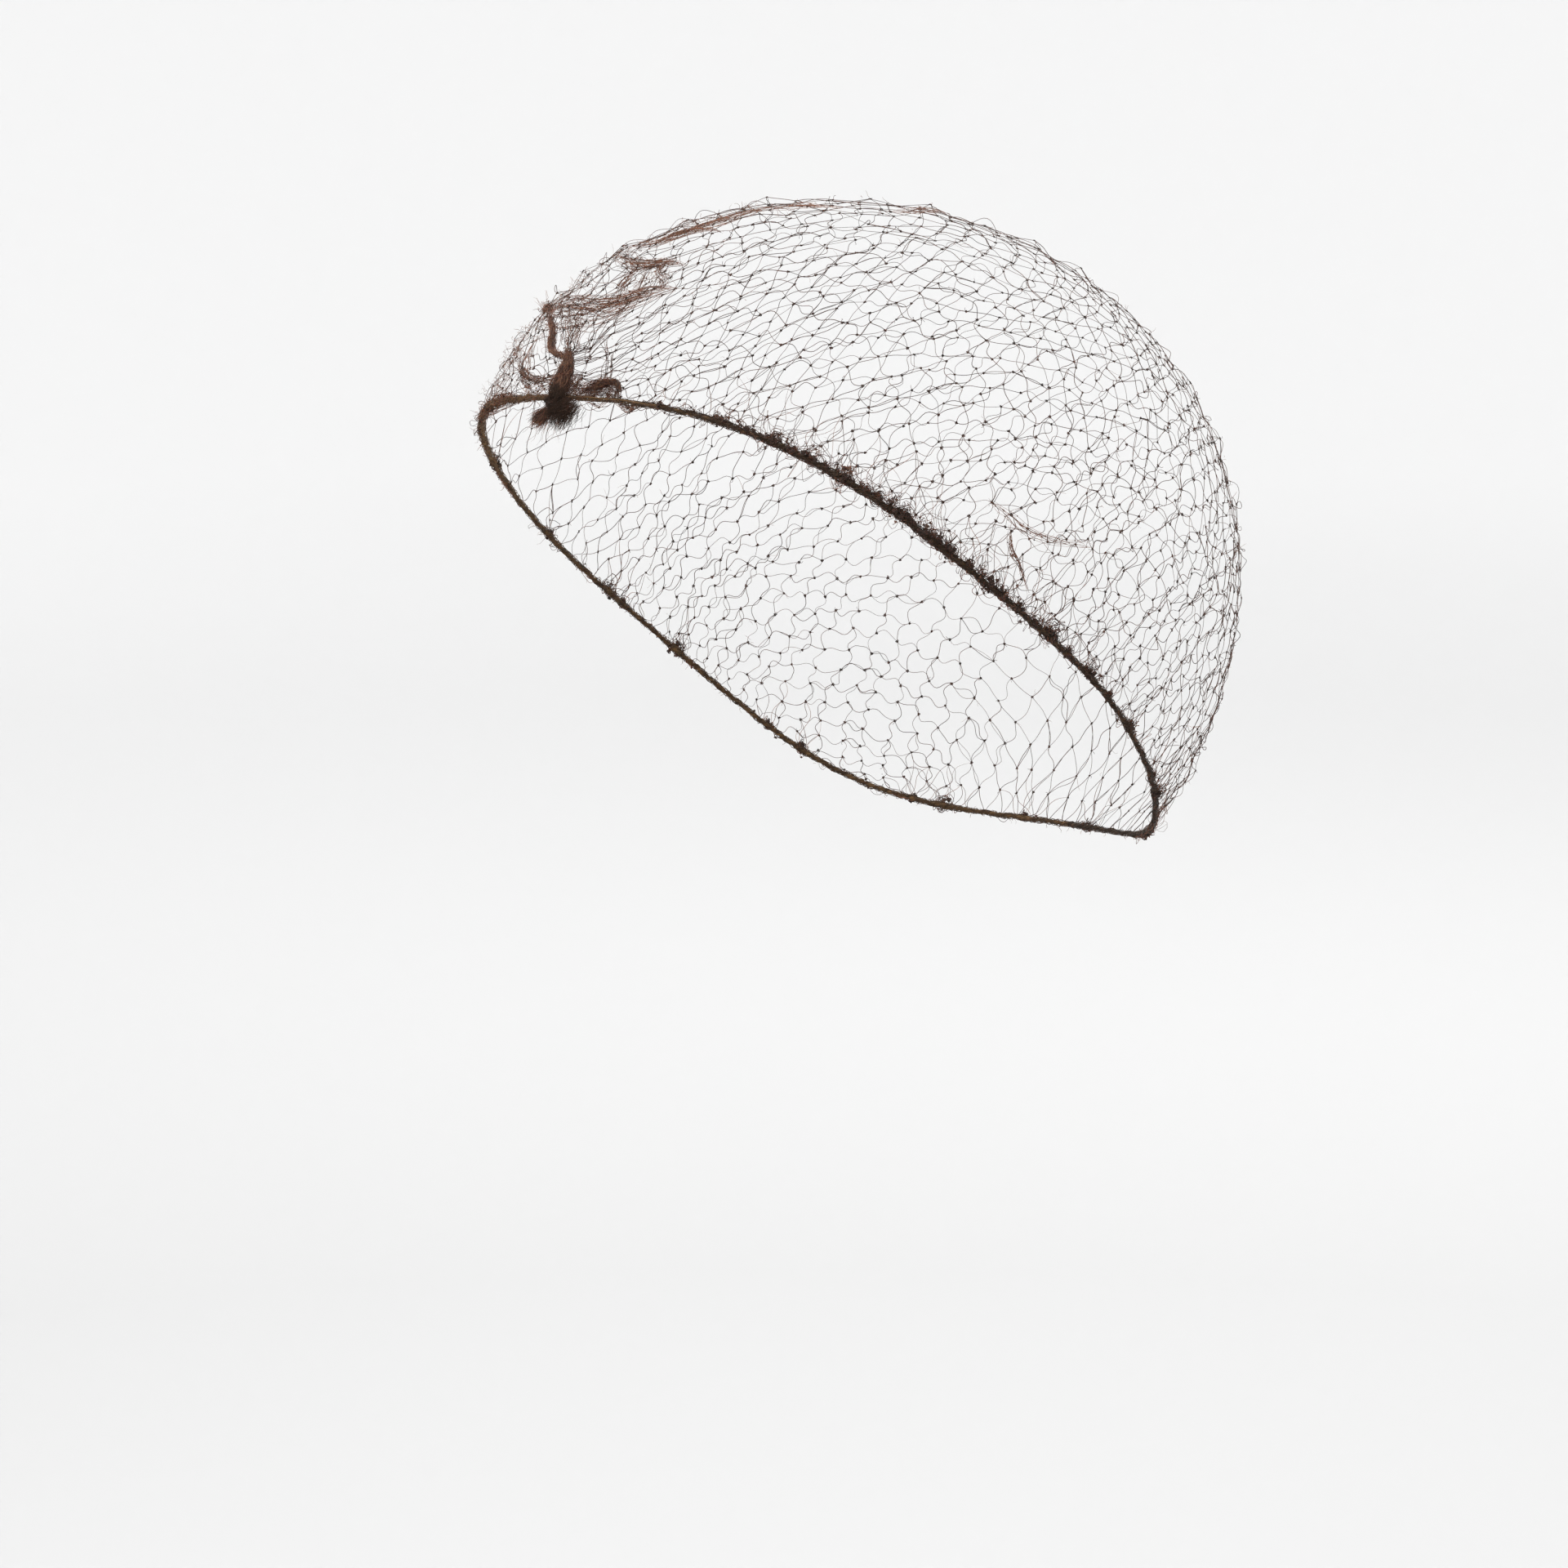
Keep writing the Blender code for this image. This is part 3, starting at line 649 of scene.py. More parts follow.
def settled_net():
    """Each bar longer than its rest length pulls its two knots together, again and again."""
    rng = np.random.default_rng(11)
    across = 2 * knot_column / HALF_COLUMNS - 1
    inner = (knot_row > 0) & (knot_row < HALF_ROWS)
    inner &= (knot_column > 0) & (knot_column < HALF_COLUMNS)
    points = strayed(on_egg(net_direction(across, ROW_PLACES[knot_row])), inner, rng)
    points, lift, held = drawn_up(points, inner, rng)
    anchors = points.copy()
    first, last = bars.T
    rest = BAR * rng.normal(1.0, 0.06, len(bars)).clip(0.85, 1.2)
    for _ in range(SETTLING_STEPS):
        span = points[last] - points[first]
        length = np.linalg.norm(span, axis=1)
        pull = span * (0.5 * np.maximum(length - rest, 0.0) / np.maximum(length, 1e-9))[:, None]
        move = np.zeros_like(points)
        np.add.at(move, first, pull)
        np.add.at(move, last, -pull)
        points = points + EASED * move * (1 - 0.7 * held)[:, None]
        points = np.where(inner[:, None], settle(points, lift), anchors)
    return points, rest, held


KNOTS, REST, HELD = settled_net()
stretch = np.linalg.norm(KNOTS[bars[:, 1]] - KNOTS[bars[:, 0]], axis=1) / REST
print(f"bars span {stretch.mean():.2f} of their length, {np.mean(stretch > 1.02):.1%} are too long")

# %% [markdown]
# ## The threads between the knots
#
# Where a bar is shorter than its thread, the spare length bows out. A thread of length L between
# knots a distance d apart bows by about 2 d / pi times the root of L / d - 1 if it makes one arc,
# and half of that if it makes an S. Each bar here mixes the two by chance, and some stand off the
# egg a little, which gives the fuzzy outline. About one bar in six is doubled.

# %% The bars
BAR_STEPS = 9
MOST_SLACK = 0.2
THREAD_RADIUS = 0.072 * MM
DOUBLED = 0.16
STANDING_BARS = 0.12


def slack_threads(first, last, slack, rng, steps=BAR_STEPS):
    """Straight spans plus sines of one, two and three half turns, sideways and outward."""
    count = len(first)
    span = last - first
    length = np.linalg.norm(span, axis=1)
    reach = 2 * length * np.sqrt(slack) / math.pi
    sideways = unit(np.cross(span, outward(first)))
    share = np.linspace(0.0, 1.0, steps)[None, :]
    mix = rng.uniform(-math.pi, math.pi, count)
    arc = (reach * np.cos(mix))[:, None] * np.sin(math.pi * share)
    wave = (reach / 2 * np.sin(mix))[:, None] * np.sin(2 * math.pi * share)
    kink = (reach * rng.normal(0.0, 0.06, count))[:, None] * np.sin(3 * math.pi * share)
    stands = rng.uniform(0.0, 1.0, count) < STANDING_BARS
    off = np.where(stands, rng.uniform(0.6, 1.4, count), rng.uniform(0.0, 0.25, count))
    puff = (np.minimum(reach, 1.6 * MM) * off)[:, None] * np.sin(math.pi * share)
    line = first[:, None] + span[:, None] * share[..., None]
    return (
        line
        + sideways[:, None] * (arc + wave + kink)[..., None]
        + outward(first)[:, None] * puff[..., None]
    )


def bar_skin(picked, rng):
    first, last = KNOTS[bars[picked, 0]], KNOTS[bars[picked, 1]]
    length = np.linalg.norm(last - first, axis=1)
    slack = np.clip(REST[picked] / np.maximum(length, 1e-6) - 1, 0.006, MOST_SLACK)
    thick = THREAD_RADIUS * rng.uniform(0.75, 1.3, (len(picked), 1))
    tone = rng.normal(0.45, 0.18, (len(picked), 1)) + 0.3 * HELD[bars[picked, :1]]
    return skin(slack_threads(first, last, slack, rng), thick, tone=np.clip(tone, 0, 1))


def net_threads(name, picked, seed):
    rng = np.random.default_rng(seed)
    doubled = picked[rng.uniform(0.0, 1.0, len(picked)) < DOUBLED]
    skins = [bar_skin(picked, rng), bar_skin(doubled, rng)]
    return make_piece(name, skins, NET_YARN, "net_cap")


bar_middle = 0.5 * (knot_column[bars[:, 0]] + knot_column[bars[:, 1]])
net_threads("net_threads_left", np.flatnonzero(bar_middle > HALF_COLUMNS / 2), 21)
net_threads("net_threads_right", np.flatnonzero(bar_middle < HALF_COLUMNS / 2), 22)

# %% [markdown]
# ## The knots
#
# Each knot is the yarn itself tied round a bar, about a millimetre across. A trefoil is the
# simplest closed loop that is really knotted, so a tiny trefoil, flattened against the egg and
# turned by chance, is copied to every crossing. At a few dozen faces each they stay light. A short
# tail of yarn sticks out of every other knot.

# %% The knots of the net
KNOT_STEPS = 11
KNOT_SIZE = 0.118 * MM
KNOT_YARN_RADIUS = 0.12 * MM
KNOT_TAILS = 0.5


def trefoils(points, size, rng):
    """Loops (sin t + 2 sin 2t, cos t - 2 cos 2t, -sin 3t), turned about the way outward."""
    out = outward(points)
    beside = unit(np.cross(out, rng.normal(0.0, 1.0, out.shape)))
    upward = np.cross(out, beside)
    turn = whole_turn(KNOT_STEPS)[None, :, None]
    stretch = rng.uniform(0.75, 1.25, (len(points), 1, 1))
    size = (size * rng.uniform(0.75, 1.2, len(points)))[:, None, None]
    return points[:, None] + size * (
        beside[:, None] * (np.sin(turn) + 2 * np.sin(2 * turn)) * stretch
        + upward[:, None] * (np.cos(turn) - 2 * np.cos(2 * turn)) / stretch
        - out[:, None] * 0.8 * np.sin(3 * turn)
    )


def knot_skin(points, size, rng, tone=0.25):
    spread = np.clip(rng.normal(tone, 0.15, (len(points), 1)), 0, 1)
    routes = trefoils(points, size, rng)
    return skin(routes, KNOT_YARN_RADIUS * size / KNOT_SIZE, closed=True, tone=spread)


def fibres(starts, ways, lengths, curl, turns, steps, rng):
    """Straight fibres whose middle line swings round in a widening, irregular screw.

    turns is a number for all of them, or the two limits of a chance number for each.
    """
    count = len(starts)
    turns = rng.uniform(*turns, (count, 1)) if np.size(turns) == 2 else turns
    walk = np.linspace(0.0, 1.0, steps)
    first = unit(np.cross(ways, rng.normal(0.0, 1.0, ways.shape)))
    second = np.cross(ways, first)
    phase = rng.uniform(0, 2 * math.pi, (count, 1)) + 2 * math.pi * turns * walk
    phase = phase + 0.8 * wander(count, steps, 3, rng)
    swing = curl * (walk**0.7)
    return (
        starts[:, None]
        + ways[:, None] * (lengths * walk)[..., None]
        + first[:, None] * (swing * np.cos(phase))[..., None]
        + second[:, None] * (swing * np.sin(phase))[..., None]
    )


def net_knots():
    rng = np.random.default_rng(31)
    tied = (knot_row > 0) & (knot_column > 0) & (knot_column < HALF_COLUMNS)
    tailed = KNOTS[tied & (rng.uniform(0.0, 1.0, len(KNOTS)) < KNOT_TAILS)]
    ways = unit(0.3 * outward(tailed) + rng.normal(0.0, 0.6, tailed.shape))
    lengths = rng.uniform(0.5 * MM, 1.3 * MM, (len(tailed), 1))
    tails = fibres(tailed, ways, lengths, 0.3 * MM, 0.6, 5, rng)
    skins = [knot_skin(KNOTS[tied], KNOT_SIZE, rng), skin(tails, 0.055 * MM, tone=0.3)]
    return make_piece("net_knots", skins, NET_YARN, "net_cap")


net_knots()

# %% [markdown]
# ## Strands in a gather
#
# Where the net is drawn up, its threads lie side by side like combed hair. Each gather gets loose
# strands along its route: they start and stop at different places, bow out sideways and come back,
# as slack loops do, and pile up over the middle of the route. Knots caught among them sit on the
# strands as dark grains.

# %% Strands along the gathers
STRAND_STEPS = 28
STRAND_RADIUS = 0.056 * MM
FAN_AT_START = 1.6
FINE_STEPS = 160
HAIR_RADIUS = 0.035 * MM


def ripple(threads, steps, low, high, rng):
    """Sines that fit a whole number of times round the loop, so that it closes."""
    turn = whole_turn(steps)
    count = rng.integers(low, high, (threads, 8, 1))
    phase = rng.uniform(0.0, 2 * math.pi, (threads, 8, 1))
    return np.mean(np.sin(count * turn + phase), axis=1) * math.sqrt(2.0)


def beside_route(route, share, aside, lift):
    """The route's place at each share, moved across it by aside, then settled at the lift."""
    angles = smooth_route(route, FINE_STEPS)
    line = place(angles[:, 0], angles[:, 1])
    across = unit(np.cross(outward(line), np.gradient(line, axis=0)))
    grid = np.linspace(0.0, 1.0, FINE_STEPS)
    middle, side = (
        np.stack([np.interp(share, grid, values[:, axis]) for axis in range(3)], axis=-1)
        for values in (line, across)
    )
    return settle(middle + side * aside[..., None], lift)


def gather_strands(gather, rng):
    """Offsets are half a sine each, a normal law high. The lift is a bell of the offset."""
    count = round(1.6 * gather["strands"])
    walk = np.linspace(0.0, 1.0, STRAND_STEPS)
    first = rng.uniform(0.0, 0.36, (count, 1))
    share = first + (rng.uniform(0.62, 1.0, (count, 1)) - first) * walk
    spread = gather["spread_first"] + (gather["spread_last"] - gather["spread_first"]) * share
    spread = spread * (1 + FAN_AT_START * (1 - share) ** 6)
    offset = rng.normal(0.0, 0.75, (count, 1)) * np.sin(math.pi * walk) ** 0.7
    offset = offset + 0.34 * wander(count, STRAND_STEPS, 10, rng)
    pile = gather["height"] * np.exp(-(offset**2)) * rng.uniform(0.05, 1.0, (count, 1))
    lift = 0.4 * MM + pile * np.sin(math.pi * walk) ** 0.5
    lift = lift + 0.12 * MM * np.abs(wander(count, STRAND_STEPS, 6, rng))
    return beside_route(gather["route"], share, spread * offset, lift)


def strand_skin(routes, rng, tone=0.55, radius=STRAND_RADIUS):
    """A skin that is thinner at both ends, with a shade of its own for each strand."""
    count, steps = routes.shape[:2]
    shade = rng.normal(tone, 0.22, (count, 1)) + 0.1 * wander(count, steps, 3, rng)
    taper = np.sin(np.linspace(0.1, math.pi - 0.1, steps)) ** 0.35
    thick = radius * rng.uniform(0.65, 1.35, (count, 1)) * taper
    return skin(routes, thick, tone=np.clip(shade, 0, 1))


def picked_places(routes, count, rng):
    return routes[rng.integers(0, len(routes), count), rng.integers(2, routes.shape[1] - 2, count)]


def fuzz_on(routes, count, length, curl, steps, rng):
    """Short curly fibres that leave the strands at chance places, most of them outward."""
    spots = picked_places(routes, count, rng)
    ways = unit(0.45 * outward(spots) + rng.normal(0.0, 0.6, spots.shape))
    lengths = rng.gamma(2.0, 0.5 * length, (count, 1))
    return fibres(spots, ways, lengths, curl, (0.2, 1.6), steps, rng)


def gathered_piece(name, picked, seed, grains=1.0, grain=0.75):
    rng = np.random.default_rng(seed)
    skins = []
    for gather in picked:
        routes = gather_strands(gather, rng)
        count = gather["strands"]
        caught = picked_places(routes, round(grains * count), rng)
        fuzz = fuzz_on(routes, 3 * count, 0.8 * MM, 0.35 * MM, 6, rng)
        skins += [strand_skin(routes, rng), knot_skin(caught, grain * KNOT_SIZE, rng, tone=0.35),
                  strand_skin(fuzz, rng, 0.55, HAIR_RADIUS)]
    return make_piece(name, skins, RED_YARN, "net_cap")


gathered_piece("crown_ruffles", GATHERS[:9], 41)
gathered_piece("bundle_ridge", GATHERS[9:11], 42)
gathered_piece("forehead_swags", GATHERS[11:14], 43)
gathered_piece("temple_wrinkles", GATHERS[14:], 44, grains=4.0, grain=0.5)

# %% [markdown]
# ## The bundle and the arch beside it
#
# The bundle is a brush of strands that rises from the knot, bulges, narrows and splits: a short
# spur ends at its top and the rest bends over into the ridge. Strands keep their place in the
# bundle's oval section, which turns a little on its way up. A dark core fills the middle, where no
# light gets in. The arch beside it is the same thing on a smaller scale, with a thin web of loose
# yarn to its left, and two thin drawn-up threads rise from its top.

# %% The bundle and the arch
# each row of a route is round, up, and the width and height there in millimetres
BRUSH = ((-4.0, 7.6, 3.4, 3.0), (-4.3, 9.0, 4.6, 3.2), (-4.5, 10.6, 4.3, 3.2),
         (-4.9, 12.2, 3.4, 2.8), (-5.5, 13.5, 2.5, 2.3), (-6.5, 14.7, 1.8, 1.9),
         (-8.0, 15.8, 1.5, 1.3))
RIDGE_ROOT = ((-4.8, 11.4, 3.0, 2.8), (-5.2, 12.9, 2.5, 2.5), (-6.5, 14.2, 2.0, 2.2),
              (-8.8, 14.5, 1.4, 1.8), (-11.4, 15.1, 1.0, 1.5), (-13.0, 16.5, 0.9, 1.4),
              (-14.6, 18.0, 0.8, 1.3), (-17.2, 19.4, 0.9, 1.3), (-20.6, 20.9, 1.0, 1.3),
              (-25.0, 22.3, 1.6, 1.3))
RIDGE_TOP = ((-22.8, 21.4, 1.2, 1.4), (-25.0, 22.3, 2.0, 2.0), (-27.2, 23.0, 1.2, 1.4))
ARCH = ((-2.6, 8.6, 2.2, 1.2), (-0.9, 9.4, 2.6, 1.4), (0.6, 10.4, 2.4, 1.5), (2.0, 11.2, 2.0, 1.5),
        (3.6, 11.7, 1.7, 1.5), (5.0, 11.8, 1.5, 1.4), (5.9, 11.3, 1.3, 1.3), (6.2, 10.4, 1.3, 1.2),
        (6.6, 9.4, 1.6, 1.0))
WEB_LEFT = ((-3.4, 9.2, 4.4, 1.6), (-2.4, 11.0, 3.8, 1.8), (-2.6, 12.6, 1.8, 1.2))
WEB_UNDER = ((-0.8, 8.8, 2.2, 1.2), (1.2, 9.8, 2.2, 1.2), (3.0, 10.3, 1.8, 1.2),
             (5.2, 9.6, 2.4, 1.2))
WEB_RIGHT = ((2.6, 9.7, 1.8, 1.2), (4.2, 10.6, 2.2, 1.2), (5.4, 10.3, 2.8, 1.4),
             (7.4, 9.9, 1.6, 1.2))
RISER_LEFT = ((3.7, 11.6, 0.9, 1.0), (2.5, 13.9, 0.6, 0.8), (1.3, 15.5, 0.6, 0.7),
              (0.3, 17.0, 1.2, 0.6))
RISER_RIGHT = ((2.6, 11.6, 0.8, 1.0), (1.1, 14.3, 0.5, 0.8), (-0.9, 16.6, 0.7, 0.7),
               (-3.7, 18.9, 1.6, 0.6))
ARCH_FLOOR = 0.7 * MM
RISER_FLOOR = 0.2 * MM
CORE_STEPS = 40

# strands start and stop at shares of the route between two limits; hair length and curl are in mm
BUNCH_COLUMNS = "route strands starts stops steps loose tone radius hairs hair_length hair_curl"
BUNDLE = table(BUNCH_COLUMNS, (
    (BRUSH, 240, (0.0, 0.25), (0.5, 1.0), 26, 2.2, 0.33, 0.062 * MM, 300, 1.0, 0.35),
    (RIDGE_ROOT, 72, (0.0, 0.3), (0.55, 1.0), 26, 3.0, 0.8, 0.05 * MM, 170, 0.9, 0.35),
    (RIDGE_TOP, 30, (0.0, 0.5), (0.5, 1.0), 10, 5.0, 0.6, 0.05 * MM, 60, 1.4, 0.45),
))
ARCH_BUNCHES = table(BUNCH_COLUMNS, (
    (ARCH, 130, (0.0, 0.45), (0.5, 1.0), 26, 3.4, 0.2, 0.05 * MM),
    (WEB_LEFT, 80, (0.0, 0.3), (0.5, 1.0), 14, 2.5, 0.15, 0.045 * MM),
    (WEB_UNDER, 56, (0.0, 0.5), (0.5, 1.0), 14, 2.5, 0.15, 0.045 * MM),
    (WEB_RIGHT, 50, (0.0, 0.5), (0.5, 1.0), 16, 2.5, 0.15, 0.045 * MM),
    (RISER_LEFT, 5, (0.0, 0.1), (0.6, 1.0), 18, 5.0, 0.1, 0.055 * MM),
    (RISER_RIGHT, 5, (0.0, 0.1), (0.6, 1.0), 18, 5.0, 0.1, 0.055 * MM),
))


def bunch_strands(bunch, rng, floor=ARCH_FLOOR):
    """Aside is half the width by a cosine, and lift half the height by one plus the sine."""
    count, steps, loose = bunch["strands"], bunch["steps"], bunch["loose"]
    widths, heights = smooth_route(bunch["route"], FINE_STEPS)[:, 2:].T
    grid = np.linspace(0.0, 1.0, FINE_STEPS)
    first = rng.uniform(*bunch["starts"], (count, 1))
    last = rng.uniform(*bunch["stops"], (count, 1))
    share = first + (last - first) * np.linspace(0.0, 1.0, steps)
    half_width = 0.5 * MM * np.interp(share, grid, widths)
    half_height = 0.5 * MM * np.interp(share, grid, heights)
    turn = rng.uniform(-math.pi, math.pi, (count, 1)) + 0.9 * share
    turn = turn + 0.3 * loose * wander(count, steps, 5, rng)
    reach = np.sqrt(rng.uniform(0.1, 1.15, (count, 1)))
    reach = reach + 0.1 * loose * wander(count, steps, 9, rng)
    lift = np.maximum(floor + half_height * (1 + reach * np.sin(turn)), 0.0)
    return beside_route(bunch["route"], share, half_width * reach * np.cos(turn), lift)


def core(rows, fill):
    """A dark tube along the middle of the rows, a share of their height thick, with round ends."""
    share = np.linspace(0.0, 1.0, CORE_STEPS)[None]
    half_height = 0.5 * MM * smooth_route(rows, CORE_STEPS)[None, :, 3]
    routes = beside_route(rows, share, 0 * share, ARCH_FLOOR + half_height)
    round_end = np.sqrt(np.clip(1 - (2 * share - 1) ** 8, 0.02, 1))
    return skin(routes, fill * half_height * round_end, sides=10, tone=0.0)


def bunch_skins(bunches, strands, rng):
    return [strand_skin(routes, rng, bunch["tone"], bunch["radius"])
            for bunch, routes in zip(bunches, strands)]


def bundle():
    rng = np.random.default_rng(51)
    strands = [bunch_strands(bunch, rng) for bunch in BUNDLE]
    hair = np.concatenate([
        fuzz_on(routes, bunch["hairs"], bunch["hair_length"] * MM, bunch["hair_curl"] * MM, 7, rng)
        for bunch, routes in zip(BUNDLE, strands)
    ])
    caught = knot_skin(picked_places(strands[1], 40, rng), 0.8 * KNOT_SIZE, rng, tone=0.35)
    skins = bunch_skins(BUNDLE, strands, rng)
    skins += [strand_skin(hair, rng, 0.6, HAIR_RADIUS), caught, core(BRUSH[:5], 0.66)]
    return make_piece("gather_bundle", skins, RED_YARN, "front_gather")


def arch():
    rng = np.random.default_rng(52)
    arch_only, webs, risers = ARCH_BUNCHES[:1], ARCH_BUNCHES[1:4], ARCH_BUNCHES[4:]
    strands = bunch_strands(arch_only[0], rng)
    strands = strands + 0.12 * MM * rng.normal(0.0, 1.0, (len(strands), 1, 3))
    hair = fuzz_on(strands, 240, MM, 0.4 * MM, 6, rng)
    web_strands = [bunch_strands(bunch, rng) for bunch in webs]
    riser_strands = [bunch_strands(bunch, rng, RISER_FLOOR) for bunch in risers]
    skins = bunch_skins(arch_only, [strands], rng) + [strand_skin(hair, rng, 0.3, HAIR_RADIUS)]
    skins += bunch_skins(risers, riser_strands, rng) + bunch_skins(webs, web_strands, rng)
    return make_piece("side_gather_strands", skins, RED_YARN, "side_gather")


bundle()
arch()

# %% [markdown]
# ## The knot and its cut ends
#
# The drawn-up net is tied in one hard knot over the elastic. Here the same trefoil as in the little
# knots is laid out large, squeezed to the size of the real one, and filled with strands side by
# side, so that one bundle passes over another. A dark core and some turns of yarn hold it shut, and
# a collar of dark fibres climbs from it over the foot of the bundle. Below it the yarn was cut off,
# and the ends fray into a stiff brush towards the wearer's right, with a dark matted skirt beside
# it, whose longest fibres reach down over the shadow under the knot as painted shadow. Collar,
# brush and skirt are one shape, a fan of fibres, with different sizes.

# %% The knot and the tuft
KNOT_HALF_SIZES = (2.6 * MM, 2.4 * MM, 1.9 * MM)
KNOT_ASIDE = 1.6
KNOT_BELOW = 2.2 * MM
KNOT_OFF = 2.7 * MM
KNOT_STRANDS = 60
KNOT_LINE_STEPS = 72
KNOT_TURNS = 7
TURN_STEPS = 30
KNOT_HAIRS = 380

# the root is aside, up and off from the knot's middle, and the fan is in degrees from straight
# down. Lengths are in millimetres. A level root lies under the cord, others square to the fibres.
COLLAR, BRUSH_ENDS, SKIRT_AND_SHADOW, RED_SKIRT, STRAYS = table(
    "root fan length wide fibres curl level tone radius", (
        ((0.5, 0.6, 1.2), (158.0, 205.0), 3.8, 1.5, 150, 0.4, False, 0.7, 0.05),
        ((-0.9, -1.3, 0.3), (28.0, 50.0), 5.6, 0.75, 380, 0.25, False, 0.4, 0.055),
        # the skirt is dark matted yarn, and where it reaches down under the knot, painted shadow
        ((2.9, 2.1, -0.9), (36.0, -12.0), 7.2, 3.6, 480, 0.6, True, 0.85, 0.042),
        ((3.6, 2.0, -0.5), (40.0, 0.0), 5.6, 3.0, 90, 0.7, True, 0.1, 0.04),
        ((0.0, -1.4, 0.0), (-35.0, 60.0), 8.5, 1.6, 24, 0.9, False, 0.4, 0.03),
    ))


def knot_place():
    """The knot's middle, with the ways aside to the wearer's left, upward and off the egg."""
    middle = edge_place(KNOT_ROUND + KNOT_ASIDE, -KNOT_BELOW, KNOT_OFF)
    off = outward(middle)
    aside = unit(np.cross((0.0, 0.0, 1.0), off))
    return middle, np.stack([aside, np.cross(off, aside), off])


def knot_strands(rng):
    """A trefoil (sin t + 2 sin 2t, cos t - 2 cos 2t, -sin 3t) with strands round its line."""
    turn = whole_turn(KNOT_LINE_STEPS)
    line = np.stack([
        0.30 * (np.sin(turn) + 2 * np.sin(2 * turn)),
        0.30 * (np.cos(turn) - 2 * np.cos(2 * turn)),
        -0.52 * np.sin(3 * turn),
    ], axis=-1) * np.array(KNOT_HALF_SIZES)
    ahead = unit(np.roll(line, -1, axis=0) - np.roll(line, 1, axis=0))
    side = unit(np.cross(ahead, (0.0, 0.0, 1.0)))
    other = np.cross(side, ahead)
    spot = rng.uniform(0.0, 2 * math.pi, (KNOT_STRANDS, 1)) + turn
    spot = spot + 0.5 * ripple(KNOT_STRANDS, KNOT_LINE_STEPS, 1, 5, rng)
    reach = 0.8 * MM * np.sqrt(rng.uniform(0.1, 1.1, (KNOT_STRANDS, 1)))
    reach = reach * (1 + 0.3 * ripple(KNOT_STRANDS, KNOT_LINE_STEPS, 2, 14, rng))
    return line + reach[..., None] * (
        side * np.cos(spot)[..., None] + other * np.sin(spot)[..., None]
    )


def knot_turns(rng):
    """Circles u cos t + v sin t about nearly upright axes, stretched to the knot's half sizes."""
    axis = unit(np.array((0.25, 1.0, 0.0)) + rng.normal(0.0, 0.3, (KNOT_TURNS, 3)))
    first = unit(np.cross(axis, (0.3, 0.1, 1.0)))
    second = np.cross(axis, first)
    turn = whole_turn(TURN_STEPS)[None, :, None]
    slide = rng.normal(0.0, 0.22, (KNOT_TURNS, 1, 1)).clip(-0.7, 0.7)
    ring = np.sqrt(1 - slide**2) * (first[:, None] * np.cos(turn) + second[:, None] * np.sin(turn))
    size = np.array((0.84, 0.95, 0.98)) * KNOT_HALF_SIZES
    return (ring * rng.uniform(0.9, 1.04, (KNOT_TURNS, 1, 1)) + axis[:, None] * slide) * size


def fanned_fibres(fan, rng):
    """Fibres that leave a root and spread between two angles from straight down."""
    count, length, wide = fan["fibres"], MM * fan["length"], MM * fan["wide"]
    middle, (aside, upward, off) = knot_place()
    root = MM * np.array(fan["root"])
    start = middle + root[0] * aside + root[1] * upward + root[2] * off
    first, last = fan["fan"]
    spot = rng.uniform(-1.0, 1.0, (count, 1))
    angle = np.radians(first + (last - first) * 0.5 * (1 + spot) + rng.normal(0, 5, (count, 1)))
    rise = rng.normal(0.0, 0.16, (count, 1))
    ways = unit(-upward * np.cos(angle) - aside * np.sin(angle) + off * rise)
    slant = 0 * angle if fan["level"] else angle
    across = aside * np.cos(slant) - upward * np.sin(slant)
    starts = start - across * spot * wide + off * rng.normal(0.0, 0.45 * wide, (count, 1))
    starts = starts + ways * rng.uniform(0.0, 0.25 * length, (count, 1))
    lengths = length * rng.uniform(0.45, 1.0, (count, 1))
    return fibres(starts, ways, lengths, MM * fan["curl"], (0.2, 1.2), 10, rng)


def fan_skin(fan, routes, rng):
    return strand_skin(routes, rng, fan["tone"], fan["radius"] * MM)


def knot():
    rng = np.random.default_rng(61)
    middle, ways = knot_place()
    walk = np.linspace(-1.0, 1.0, 13)
    spine = middle + 0.8 * KNOT_HALF_SIZES[1] * walk[:, None] * ways[1]
    thick = 0.72 * KNOT_HALF_SIZES[2] * np.sqrt(1.001 - walk**2)
    strands, turns = middle + knot_strands(rng) @ ways, middle + knot_turns(rng) @ ways
    tone = np.clip(rng.normal(0.5, 0.3, (KNOT_STRANDS, 1)), 0, 1)
    spots = picked_places(strands, KNOT_HAIRS, rng)
    ways_off = unit(0.7 * unit(spots - middle) + rng.normal(0.0, 0.6, spots.shape))
    lengths = MM * rng.gamma(2.0, 0.42, (KNOT_HAIRS, 1))
    hair = fibres(spots, ways_off, lengths, 0.35 * MM, (0.3, 1.4), 6, rng)
    collar = fanned_fibres(COLLAR, rng)
    skins = [
        skin(spine[None], thick[None], sides=14, tone=0.0),
        skin(strands, rng.uniform(0.05, 0.1, (KNOT_STRANDS, 1)) * MM, closed=True, tone=tone),
        skin(turns, rng.uniform(0.05, 0.09, (KNOT_TURNS, 1)) * MM, closed=True, tone=0.4),
        strand_skin(hair, rng, 0.6, HAIR_RADIUS),
        fan_skin(COLLAR, collar, rng),
    ]
    return make_piece("knot_wraps", skins, DARK_YARN, "front_knot")


